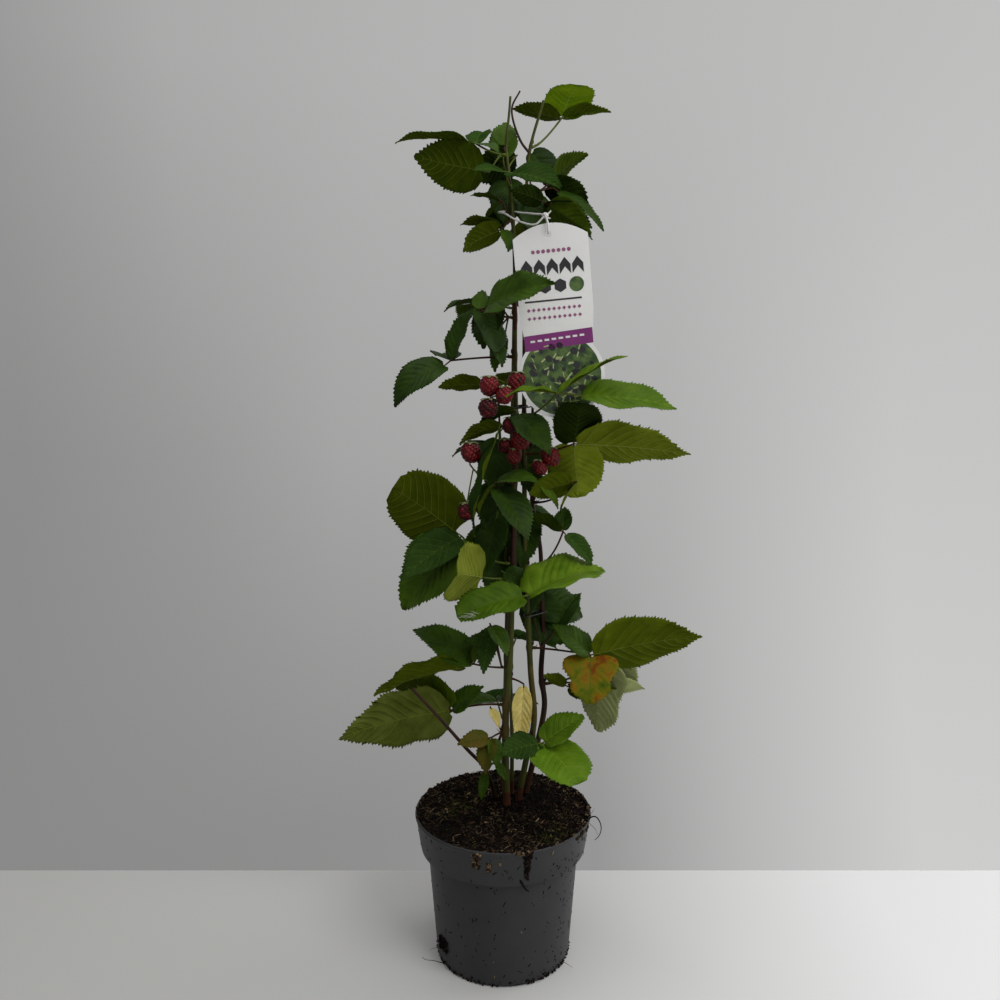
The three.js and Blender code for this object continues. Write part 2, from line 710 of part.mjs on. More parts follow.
// The white loop that hangs the card from the canes, with its knot above the card
function loopSolid() {
  const path = new THREE.CatmullRomCurve3(LOOP.path.map(vector), true, 'centripetal');
  const cord = solidFrom(new THREE.TubeGeometry(path, LOOP.segments, LOOP.radius, LOOP.sides, true));
  const knot = weld(new THREE.IcosahedronGeometry(LOOP.knotRadius, 1));
  knot.translate(...LOOP.knot);
  return cord.add(solidFrom(knot));
}

function shootSolid() {
  const { centre, radius } = canePoint(CANES[SHOOT.cane], SHOOT.height);
  const out = vector(SHOOT.path[0]).sub(centre).setZ(0).normalize();
  const start = centre.clone().addScaledVector(out, radius + CLEARANCE);
  const curve = new THREE.CatmullRomCurve3([start, ...SHOOT.path.map(vector)], false, 'centripetal');
  return stalkSolid(curve, SHOOT.rootRadius, SHOOT.tipRadius, SHOOT.steps, out);
}

const model = new THREE.Group();

function addMesh(name, geometry, [colour, roughness]) {
  const material = new THREE.MeshStandardMaterial({ color: colour, roughness, metalness: 0 });
  const mesh = new THREE.Mesh(geometry, material);
  mesh.name = name;
  model.add(mesh);
}

function place(name, solid, look) {
  placed.push(solid);
  addMesh(name, geometryOf(solid), look);
}

addMesh('pot', potSolid(), COLOURS.pot);
addMesh('soil', soilSolid(), COLOURS.soil);
for (const [name, cane] of Object.entries(CANES)) {
  place(name, caneSolid(cane), [cane.colour, CANE.roughness]);
}
place(SHOOT.name, shootSolid(), COLOURS.shoot);
place('card', solidFrom(tagSolid()), COLOURS.card);
place('card_loop', loopSolid(), COLOURS.loop);
for (const spray of FRUIT) {
  place(spray.name, fruitSolid(spray), COLOURS.fruit);
}
for (const mass of [...MASSES, DRY_LEAF, ...backMasses()]) {
  place(mass.name, massSolid(mass), mass === DRY_LEAF ? COLOURS.dry : COLOURS.leaf);
}

export default model;
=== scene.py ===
"""Looks of a potted bramble: canes, toothed leaves, fruit, a hanging card, a pot and its soil.

Tables are in millimetres, as in the part's source, and every piece is written in metres.
"""

import math

import bmesh
import bpy
import numpy as np
from mathutils import Matrix, Vector, noise


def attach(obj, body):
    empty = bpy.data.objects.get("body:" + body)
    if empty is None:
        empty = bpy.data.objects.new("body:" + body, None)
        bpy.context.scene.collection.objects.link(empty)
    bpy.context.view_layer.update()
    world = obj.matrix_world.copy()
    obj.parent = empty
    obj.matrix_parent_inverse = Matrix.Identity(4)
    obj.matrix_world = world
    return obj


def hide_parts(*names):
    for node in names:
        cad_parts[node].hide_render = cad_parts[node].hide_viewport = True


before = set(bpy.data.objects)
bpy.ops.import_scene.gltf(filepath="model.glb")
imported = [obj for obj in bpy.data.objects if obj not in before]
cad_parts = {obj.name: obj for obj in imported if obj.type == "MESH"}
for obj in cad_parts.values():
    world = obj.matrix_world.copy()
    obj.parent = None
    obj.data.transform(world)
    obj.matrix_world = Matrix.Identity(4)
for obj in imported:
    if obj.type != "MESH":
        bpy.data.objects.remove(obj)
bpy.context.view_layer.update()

MM = 0.001
CAMERA = {"place": (-3.3, -925.0, 624.0), "pitch": 7.75, "lens": 32.4}

# Sizes that the source states too
POT = {
    "height": 160, "rim": 95, "band": 89, "foot": 121, "neck": 81.5, "base": 72.4,
    "wall": 2, "floor": 3,
}
SOIL = {
    "centre": 162, "sunk": 1.2, "edge_fall": 4.2, "back_heap": 4.0, "dip": 2.6, "lumps": 2.4,
    "grains": 1.1, "spill": 3.2, "spill_heading": -60, "spill_width": 34,
}
# Radians of a random heading, and of the spiral that spreads drupelets evenly
FULL_TURN = 6.28
GOLDEN_ANGLE = 2.399963
LEAFLET = {"ratio": 0.66, "droop": 24, "fold": 13, "stalk": 0.12, "side_stalk": 2}
TAG = {
    "width": 73, "shoulder": 84, "hump": 20, "disc_radius": 43, "disc_drop": 147, "thickness": 1.4,
    "waist": 33, "hole_radius": 3, "hole_offset": -1.6, "hole_drop": 10.5, "origin": (44, -27, 772),
    "lean": -5.6, "tilt": 4.2, "hump_fall": 0.62, "hump_bow": 0.5,
}
BACK = {
    "count": 8, "first": 240, "step": 76, "change": 720, "seed": 4711, "side": 0.8, "spread": 76,
    "swing": (14, 40), "length": (56, 76), "rise": (-26, -6), "reach": (24, 36), "lift": (6, 14),
    "bank": (-8, 8),
}
CANES = {
    "cane_front": (4.0, 1.1, "green", [
        (4, 4, 0), (3, 4, 210), (3, 2, 266), (7, 2, 325), (9, 4, 389), (11, 6, 454), (12, 6, 518),
        (13, 6, 580), (12, 4, 642), (12, 3, 702), (11, 2, 752), (8, 2, 800), (5, 3, 829),
        (3, 4, 848), (6, 6, 885), (7, 6, 898),
    ]),
    "cane_second": (3.3, 1.3, "green", [
        (17, 16, 0), (25, 15, 206), (34, 14, 254), (30, 14, 308), (28, 14, 345), (24, 14, 422),
        (23, 15, 476), (22, 16, 560), (22, 16, 642), (22, 14, 722), (23, 13, 791), (26, 12, 846),
        (40, 12, 896),
    ]),
    "cane_dark": (3.3, 1.2, "dark", [
        (26, 34, 0), (35, 32, 205), (46, 30, 266), (42, 30, 300), (44, 29, 345), (42, 28, 389),
        (40, 27, 443), (32, 28, 486), (30, 28, 528), (31, 28, 580), (32, 28, 640),
    ]),
    "cane_thin": (2.3, 1.1, "green", [
        (10, 30, 0), (10, 30, 233), (8, 28, 300), (4, 26, 389), (2, 24, 454), (-1, 22, 518),
        (-3, 18, 560), (-5, 14, 604),
    ]),
    "cane_back": (2.8, 1.2, "green", [
        (0, 46, 0), (2, 44, 230), (4, 44, 330), (6, 44, 430), (8, 44, 520), (10, 42, 600),
        (11, 36, 680), (12, 30, 740),
    ]),
    "cane_cut": (2.1, 1.5, "dark", [
        (-9, 22, 0), (-13, 16, 182), (-20, 9, 202), (-38, -2, 227), (-67, -14, 267),
        (-95, -25, 304),
    ]),
}
# A mass: name, cane, height, arms (joint and blades), then the root's heading and the stalk's bow
# A blade: length, heading, rise, bank, then droop, width ratio and stalk where they differ
MASSES = [
    ("leaves_top_right", "cane_second", 852, [
        ((59, 30, 884), [
            (55, 60, 47, 19, 26, 0.91, 4), (50, 178, 12, 14, 10), (49, 2, 8, -12, 10),
        ]),
    ], None, 0.2),
    ("leaves_top_left", "cane_front", 842, [
        ((-27, -5, 851), [(71, 186, 0, -8, 25, 0.7), (40, 75, 30, 0), (36, -50, -22, 10)]),
        ((-14, -14, 822), [(70, 168, 14, 66, 12, 0.76)]),
    ]),
    ("leaves_top_centre", "cane_front", 828, [
        ((0, 13, 838), [(40, 84, 72, 0, 24, 0.76), (40, 140, 4, 0)]),
        ((3, 18, 854), [(42, 110, -66, 0, 20, 0.85)]),
    ]),
    ("leaves_top_front", "cane_front", 812, [
        ((2, -26, 820), [(62, -38, -19, 30), (34, -150, -4, -30)]),
    ]),
    ("leaves_top_back", "cane_second", 806, [
        ((44, 14, 816), [(50, 20, 38, -40), (44, 120, 42, 0), (48, 8, -28, -40, 20, 0.8)]),
        ((40, -4, 796), [(52, -10, -34, -60), (34, -168, 16, 60), (58, 24, -20, 0)]),
    ]),
    ("leaves_high_left", "cane_front", 778, [
        ((0, -9, 770), [(42, -172, -28, 42, 20, 0.8), (42, 172, 8, 10), (24, -60, -66, 0)]),
        ((-2, -9, 796), [(28, -170, 8, 0), (24, 170, -48, 0)]),
    ]),
    ("leaves_upper_left", "cane_front", 684, [
        ((-24, -17, 690), [(80, -34, 15, 48, 20), (26, 80, 50, 0), (46, -40, -60, 0, 20, 0.9)]),
        ((-12, -4, 662), [(32, -60, -50, 0)]),
    ]),
    ("leaves_left_arching", "cane_front", 645, [
        ((-53, -5, 641), [
            (72, -170, -38, -35, 75), (58, 14, 66, 30, 20, 0.46), (50, 112, 8, 0),
        ]),
    ]),
    ("leaves_left_level", "cane_thin", 600, [
        ((-18, 8, 617), [(44, -176, -3, 34, 20, 0.7)]),
    ]),
    ("leaves_right_high", "cane_second", 584, [
        ((53, -46, 609), [
            (92, -6, -6, 27, 20, 0.6, 24), (74, -3, 31, 8, 10, 0.4), (50, -170, 0, -6, 20, 0.5),
        ]),
    ], -80, 0.6),
    ("leaves_right_middle", "cane_second", 545, [
        ((72, -7, 557), [
            (117, -1, -5, -46, 8, 0.55, 3), (54, -85, 50, 0, 24, 0.95), (62, 75, -66, -10, 16, 1),
        ]),
    ]),
    ("leaves_right_inner", "cane_dark", 492, [
        ((76, -4, 518), [(46, 182, -14, 64, 10, 0.76), (38, -150, -56, 30, 20, 0.45)]),
    ]),
    ("leaves_front_high", "cane_front", 586, [
        ((12, -15, 592), [(60, -50, -38, 10), (40, 172, -24, 30)]),
        ((4, -14, 578), [(48, 178, -22, 30)]),
    ]),
    ("leaves_front_hanging", "cane_front", 566, [
        ((-3, -25, 578), [(104, -140, -70, 32, 14, 0.42)]),
    ]),
    ("leaves_front_middle", "cane_front", 518, [
        ((-8, -26, 520), [
            (66, -51, -46, 0), (48, -30, 4, 20), (36, 176, -62, 0, 20, 0.8),
        ]),
    ]),
    ("leaves_right_lower", "cane_second", 424, [
        ((62, -6, 466), [(42, -20, -46, 20), (42, 168, 22, 40), (30, 80, 48, 0)]),
    ]),
    ("leaves_centre_left", "cane_thin", 474, [
        ((-12, 12, 478), [(70, 165, -66, 40, 14, 0.56), (40, 130, 10, 0)]),
    ]),
    ("leaves_left_middle", "cane_front", 430, [
        ((-43, -5, 461), [
            (80, 173, 34, 72, 12, 1.09, 8), (76, -156, -31, -36, 24, 0.66, 3),
            (100, 178, -50, -50, 10, 0.8),
        ]),
    ]),
    ("leaves_left_pale", "cane_front", 416, [
        ((-18, -28, 422), [(66, -114, 15, 74, 8, 1)]),
    ]),
    ("leaves_front_low", "cane_second", 398, [
        ((23, -50, 409), [(69, -166, -13, -32, 12, 0.65, 4), (88, 21, 13, 6, 29, 0.86, 3)]),
    ]),
    ("leaves_low_left_upper", "cane_front", 318, [
        ((-31, -6, 324), [(100, -178, -17, 34), (76, 163, 27, -20), (42, 40, 62, -60)]),
        ((-6, -8, 346), [(32, -170, 10, -40)]),
    ]),
    ("leaves_low_left", "cane_front", 276, [
        ((-56, 18, 264), [
            (122, 190, -11, 82, 10, 0.58, 3), (74, 160, 22, 72, 16, 0.8), (44, -8, 40, 40),
        ]),
    ]),
    ("leaves_low_wilted", "cane_front", 246, [
        ((-12, -6, 243), [(34, -166, -6, -40), (37, -112, -58, 8), (30, -60, -66, 0)]),
    ]),
    ("leaves_low_right", "cane_second", 336, [
        ((93, 0, 332), [
            (117, 0, 10, -62, 10, 0.68, 3), (50, 165, 36, -34), (50, -95, -58, 0, 20, 1.25),
        ]),
        ((52, 20, 348), [(60, 50, 34, 0)]),
    ]),
    ("leaves_low_right_pale", "cane_dark", 290, [
        ((104, 26, 321), [(84, 76, -84, 34, 8, 0.94, 5), (56, 24, -44, -44, 11, 0.9, 5)]),
        ((70, 12, 293), [(28, -170, 28, 60), (32, -30, -12, 40), (56, 6, -6, -20)]),
    ]),
    ("leaves_bottom_front", "cane_second", 236, [
        ((40, -56, 258), [
            (44, -150, -2, -26, 20, 0.8), (48, 10, 32, 20, 20, 0.85), (59, -55, -20, 5, 15, 1),
        ]),
    ]),
]
DRY_LEAF = ("dry_leaf", "cane_front", 306, [
    ((22, -6, 302), [(68, -105, -80, 0, 6, 0.34, 3)]),
])
FRUIT = [
    ("fruit_high", "cane_thin", 598, (2, -24, 618), [
        (-14, -30, 616, 9.5), (13, -26, 621, 8.5), (1, -34, 607, 8.5), (-15, -28, 594, 9.5),
    ]),
    ("fruit_middle", "cane_front", 552, (12, -22, 572), [
        (7, -24, 577, 8), (17, -26, 562, 9.5), (11, -26, 546, 7.5), (2, -22, 556, 7),
    ]),
    ("fruit_left", "cane_thin", 512, (-34, -10, 536), [(-33, -14, 549, 10), (-37, -18, 489, 9)]),
    ("fruit_right", "cane_second", 532, (42, -10, 556), [(48, -16, 545, 9.5), (37, -16, 534, 7.5)]),
]
LOOP = {
    "radius": 0.9, "knot": (40.5, -26.6, 779),
    "path": [
        (43.4, -27, 762.2), (43.2, -22.6, 767), (41.8, -23.6, 775), (40.5, -25, 779),
        (28, -14, 783), (15, 2, 787), (8, 8, 789), (-1, 4, 788), (-5, -4, 786), (1, -9.5, 784),
        (14, -16, 776), (31, -26, 771), (40, -28.5, 778), (42.6, -31.4, 772), (43.3, -31, 765),
    ],
}
SHOOT = ("cane_second", 846, [(17, 12, 858), (8.4, 11.8, 888), (16.5, 12, 905)])

# Tints of leaflets by mass, one list for each arm: upper face, then lower face
TINT_ROWS = {
    "leaves_top_right": [["lime under_lime"] * 3],
    "leaves_top_left": [["fresh under_mid", "bluish under_deep"], ["mid under_mid"]],
    "leaves_top_centre": [["mid under_olive"], ["deep under_dark"]],
    "leaves_top_front": [["bluish under_deep"] * 2],
    "leaves_top_back": [["deep under_deep", "deep under_dark", "deep under_dark"]] * 2,
    "leaves_upper_left": [["mid under_olive", None, "deep under_deep"], ["deep under_deep"]],
    "leaves_left_arching": [["deep under_deep"] * 3],
    "leaves_right_high": [["spring under_mid", "bright under_olive", "bright under_olive"]],
    "leaves_right_middle": [["mid under_bright", "deep under_dark", "mid under_bright"]],
    "leaves_right_inner": [["mid under_olive"]],
    "leaves_front_middle": [["deep under_deep", "mid under_deep"]],
    "leaves_left_middle": [["mid under_spotted", "bluish under_olive", "fresh under_olive"]],
    "leaves_left_pale": [["mid under_pale"]],
    "leaves_front_low": [["fresh under_olive", "bright under_olive"]],
    "leaves_low_left": [["mid under_grey", "mid under_mid", "mid under_grey"]],
    "leaves_low_left_upper": [["mid under_olive", "mid under_olive", "bluish under_deep"]],
    "leaves_low_wilted": [["brown brown", "brown brown", "mid under_olive"]],
    "leaves_low_right": [["mid under_olive", None, "turning turning"]],
    "leaves_low_right_pale": [["under_wan under_wan", "mid under_wan"]],
    "leaves_bottom_front": [["bluish under_olive", "spring under_olive", "spring under_olive"]],
    "dry_leaf": [["dry dry"]],
}
TINTS = {
    (name, arm, k): tuple(pair.split())
    for name, arms in TINT_ROWS.items()
    for arm, pairs in enumerate(arms)
    for k, pair in enumerate(pairs) if pair
}
USUAL_TINTS = [("mid", "under_olive"), ("deep", "under_deep"), ("bluish", "under_olive")]

# Further small leaves of a mass: joint, blades, and their tints; the dark ones behind the canes
# take faces darkened with painted shade
MORE = {
    "leaves_upper_left": [
        ((-8, 8, 702), [(50, -118, -62, 0, 16, 0.8)], "deep under_dark"),
        ((2, 14, 668), [(38, -128, -64, 0, 16, 0.62)], "mid under_olive"),
    ],
    "leaves_top_centre": [
        ((14, 20, 846), [(46, 195, -30, 60, 14, 0.8)], "deep under_dark"),
        ((4, 24, 826), [(50, -95, -66, 0, 14, 0.8)], "deep under_dark"),
    ],
    "leaves_top_back": [
        ((25, 25, 852), [(42, 10, -50, 70, 12, 0.9)], "deep under_deep"),
        ((50, 10, 812), [(60, -5, -38, 34, 20, 0.5)], "deep under_deep"),
        ((28, 22, 812), [(46, -80, -66, 0, 14, 0.8)], "deep under_dark"),
    ],
    "leaves_top_front": [
        ((12, 24, 800), [(40, 0, -30, 70, 12, 0.8), (38, 190, -40, 60, 12, 0.8)],
         "deep under_dark"),
    ],
    "leaves_front_high": [
        ((-4, 32, 566), [(62, -100, -64, 0, 14, 0.7)], "deep under_dark"),
        ((24, 32, 560), [(54, -80, -66, 0, 14, 0.75)], "deep under_dark"),
    ],
    "leaves_front_middle": [
        ((-4, 15, 514), [(42, -120, -55, 0, 20, 0.7)], "deep under_dark"),
        ((-8, 30, 520), [(66, -84, -70, 0, 14, 0.75)], "deep under_dark"),
        ((36, 0, 520), [(34, -20, -52, 30, 20, 0.35)], "bright under_olive"),
        ((22, 34, 486), [(60, -96, -66, 0, 14, 0.72)], "deep under_dark"),
    ],
    "leaves_centre_left": [
        ((-6, 14, 484), [(66, -112, -58, 6, 14, 0.62)], "deep under_dark"),
        ((-2, 34, 450), [(64, -90, -70, 0, 14, 0.75)], "deep under_dark"),
    ],
    "leaves_left_pale": [
        ((-2, -4, 424), [(34, -10, -25, 50, 20, 0.7)], "deep under_deep"),
        ((24, 32, 424), [(50, -80, -66, 0, 14, 0.8)], "deep under_dark"),
    ],
    "leaves_low_left_upper": [
        ((-11, -8, 366), [(46, -112, -60, 0, 14, 0.5)], "bluish under_deep"),
        ((-14, -12, 370), [(36, -50, -44, 0, 20, 0.7)], "mid under_deep"),
    ],
    "leaves_low_right": [
        ((28, 38, 384), [(62, 15, -20, 60, 12, 0.8), (62, -5, -52, 66, 12, 0.85)],
         "deep under_deep"),
    ],
    "leaves_low_right_pale": [
        ((98, 30, 290), [(52, -4, -4, -66, 12, 0.55), (40, 20, 40, -70, 12, 0.62)],
         "mid under_wan"),
    ],
    "leaves_low_wilted": [
        ((-18, 4, 203), [(30, -112, -62, 0, 24, 0.42)], "mid under_olive"),
        ((-8, 0, 214), [(22, -40, -50, 20, 20, 0.5), (20, -150, -40, 20, 20, 0.5)],
         "mid under_olive"),
        ((-14, 0, 275), [(22, -50, -50, 0, 10, 0.6)], "dry dry"),
    ],
}


# Materials
def shader(name, roughness, specular=0.5, coat=0.0):
    made = bpy.data.materials.new(name)
    made.use_nodes = True
    face = made.node_tree.nodes["Principled BSDF"]
    face.inputs["Roughness"].default_value = roughness
    face.inputs["Specular IOR Level"].default_value = specular
    face.inputs["Coat Weight"].default_value = coat
    return made, made.node_tree, face


def link(tree, start, end):
    tree.links.new(start, end)


def node(tree, kind, **values):
    """A shader node with some of its inputs set."""
    made = tree.nodes.new("ShaderNode" + kind)
    for name, value in values.items():
        made.inputs[name.replace("_", " ")].default_value = value
    return made


def ramp(tree, value, first, last, *between):
    """The colour that a value has on a ramp of places with their colours."""
    made = node(tree, "ValToRGB")
    stops = made.color_ramp.elements
    for stop, (at, colour) in zip(stops, (first, last)):
        stop.position = at
        stop.color = (*colour, 1)
    for at, colour in between:
        stops.new(at).color = (*colour, 1)
    link(tree, value, made.inputs["Fac"])
    return made.outputs["Color"]


def mottled(name, low, high, roughness, scale, bump_scale, bump, distance, **extra):
    """A colour that wanders between low and high in patches, with fine relief."""
    made, tree, face = shader(name, roughness, extra.get("specular", 0.5), extra.get("coat", 0.0))
    face.inputs["Base Color"].default_value = (*[(a + b) / 2 for a, b in zip(low, high)], 1)
    made.diffuse_color = face.inputs["Base Color"].default_value
    place = node(tree, "TexCoord").outputs["Object"]
    patches = node(tree, "TexNoise", Scale=scale, Detail=extra.get("detail", 5.0), Roughness=0.6)
    link(tree, place, patches.inputs["Vector"])
    out = ramp(tree, patches.outputs["Fac"], (extra.get("from", 0.32), low),
               (extra.get("to", 0.68), high), *extra.get("stops", ()))
    if "island" in extra:
        each = node(tree, "NewGeometry")
        spread = node(tree, "MapRange", To_Min=1 - extra["island"], To_Max=1 + extra["island"])
        tone = node(tree, "HueSaturation")
        link(tree, each.outputs["Random Per Island"], spread.inputs["Value"])
        link(tree, spread.outputs["Result"], tone.inputs["Value"])
        link(tree, out, tone.inputs["Color"])
        out = tone.outputs["Color"]
    link(tree, out, face.inputs["Base Color"])
    cells = extra.get("cells", False)
    relief = node(tree, "TexVoronoi" if cells else "TexNoise", Scale=bump_scale)
    if cells:
        relief.feature = "DISTANCE_TO_EDGE"
    link(tree, place, relief.inputs["Vector"])
    lift = node(tree, "Bump", Strength=bump, Distance=distance)
    link(tree, relief.outputs["Distance" if cells else "Fac"], lift.inputs["Height"])
    link(tree, lift.outputs["Normal"], face.inputs["Normal"])
    return made


def leaf_face(name, low, high, roughness, specular, **extra):
    return mottled(name, low, high, roughness, 55, 430, 0.55, 0.0007, specular=specular,
                   island=0.16, cells=True, **extra)


TOPS = {
    "mid": ((0.019, 0.044, 0.0022), (0.038, 0.080, 0.0036)),
    # The deep upper face is the green darkened with painted shade, for leaves inside the crown
    "deep": ((0.008, 0.020, 0.0016), (0.019, 0.044, 0.0024)),
    # A green upper face with a painted bluish sheen: the sky's reflection put into its colour
    "bluish": ((0.014, 0.033, 0.0060), (0.027, 0.054, 0.0105)),
    "fresh": ((0.032, 0.070, 0.0022), (0.062, 0.116, 0.0050)),
    "bright": ((0.048, 0.098, 0.0030), (0.096, 0.160, 0.0085)),
    "spring": ((0.040, 0.088, 0.0020), (0.072, 0.130, 0.0045)),
    "lime": ((0.026, 0.048, 0.0008), (0.048, 0.078, 0.0016)),
}
UNDERS = {
    "under_olive": ((0.040, 0.058, 0.0014), (0.066, 0.090, 0.0030)),
    "under_mid": ((0.028, 0.046, 0.0014), (0.048, 0.074, 0.0026)),
    "under_deep": ((0.024, 0.040, 0.0016), (0.042, 0.068, 0.0030)),
    # An underside darkened almost to black with painted shade, for leaves hanging in the crown's
    # shadow
    "under_dark": ((0.006, 0.012, 0.0012), (0.014, 0.025, 0.0020)),
    "under_bright": ((0.110, 0.144, 0.0060), (0.168, 0.208, 0.0140)),
    "under_lime": ((0.036, 0.058, 0.0014), (0.056, 0.084, 0.0026)),
    "under_pale": ((0.100, 0.124, 0.0100), (0.155, 0.178, 0.0220)),
    "under_grey": ((0.052, 0.068, 0.0085), (0.086, 0.106, 0.0190)),
    # The wan underside is pale, and brightened further with painted light where its face turns into
    # shadow
    "under_wan": ((0.270, 0.310, 0.1150), (0.380, 0.420, 0.1800)),
}
LEAF_MATERIALS = {}
for tint, (low, high) in TOPS.items():
    # The face with the painted bluish sheen gets no shine of its own, and neither does the lime one
    shine = 0.0 if tint in ("lime", "bluish") else 0.07
    LEAF_MATERIALS[tint] = leaf_face("leaf_upper_" + tint, low, high, 0.45, shine)
for tint, (low, high) in UNDERS.items():
    LEAF_MATERIALS[tint] = leaf_face("leaf_lower_" + tint[6:], low, high, 0.7, 0.02)
LEAF_MATERIALS["under_spotted"] = leaf_face(
    "leaf_lower_spotted", (0.040, 0.058, 0.0014), (0.062, 0.082, 0.0026), 0.7, 0.02,
    stops=[(0.72, (0.085, 0.040, 0.003)), (0.84, (0.060, 0.026, 0.003))],
)
LEAF_MATERIALS["turning"] = leaf_face(
    "leaf_turning", (0.048, 0.088, 0.003), (0.170, 0.046, 0.004), 0.5, 0.05, detail=2.5,
    stops=[(0.46, (0.130, 0.130, 0.004)), (0.58, (0.20, 0.120, 0.005))],
)
LEAF_MATERIALS["brown"] = leaf_face(
    "leaf_wilted", (0.040, 0.052, 0.004), (0.088, 0.058, 0.010), 0.6, 0.06,
)
LEAF_MATERIALS["dry"] = leaf_face(
    "leaf_dry", (0.36, 0.28, 0.072), (0.56, 0.47, 0.160), 0.75, 0.06,
)
VEIN_MATERIALS = {}
for name, low, high in (
    ("vein_upper", (0.042, 0.078, 0.006), (0.064, 0.108, 0.010)),
    ("vein_bright", (0.105, 0.170, 0.014), (0.145, 0.215, 0.026)),
    ("vein_lower", (0.084, 0.112, 0.010), (0.120, 0.150, 0.020)),
    ("vein_pale", (0.165, 0.200, 0.028), (0.225, 0.256, 0.050)),
    # The wan veins carry the same painted light
    ("vein_wan", (0.330, 0.360, 0.150), (0.430, 0.460, 0.220)),
    # Dark veins, for wilted leaves, deep undersides and the leaves darkened with painted shade
    ("vein_deep", (0.024, 0.042, 0.004), (0.040, 0.062, 0.007)),
    ("vein_dry", (0.30, 0.22, 0.06), (0.42, 0.33, 0.11)),
):
    VEIN_MATERIALS[name] = mottled(name, low, high, 0.6, 60, 900, 0.1, 0.0002, island=0.1,
                                   specular=0.04)
VEINS_OF = {
    "mid": "vein_upper", "deep": "vein_deep", "bluish": "vein_upper", "fresh": "vein_upper",
    "bright": "vein_bright", "spring": "vein_bright", "lime": "vein_upper",
    "turning": "vein_upper", "brown": "vein_deep", "dry": "vein_dry", "under_deep": "vein_deep",
    "under_dark": "vein_deep", "under_pale": "vein_pale", "under_wan": "vein_wan",
    "under_bright": "vein_pale",
}
LEAF_ORDER = list(LEAF_MATERIALS)
VEIN_ORDER = list(VEIN_MATERIALS)
# What several looks share: scale of the patches and of the relief, its strength and depth
STEM = (30, 500, 0.25, 0.0004)
STALK_SKIN = (0.5, 40, 700, 0.2, 0.0003, {"island": 0.12, "specular": 0.1})
BERRY_SKIN = (160, 900, 0.1, 0.0001)
FINE = (90, 900, 0.2, 0.0003, {})
GRAIN = (200, 900, 0.6, 0.0006)
SOFT_GRAIN = (200, 900, 0.5, 0.0004)
GLOSS = (0.03, 0.0002, {"coat": 0.3})
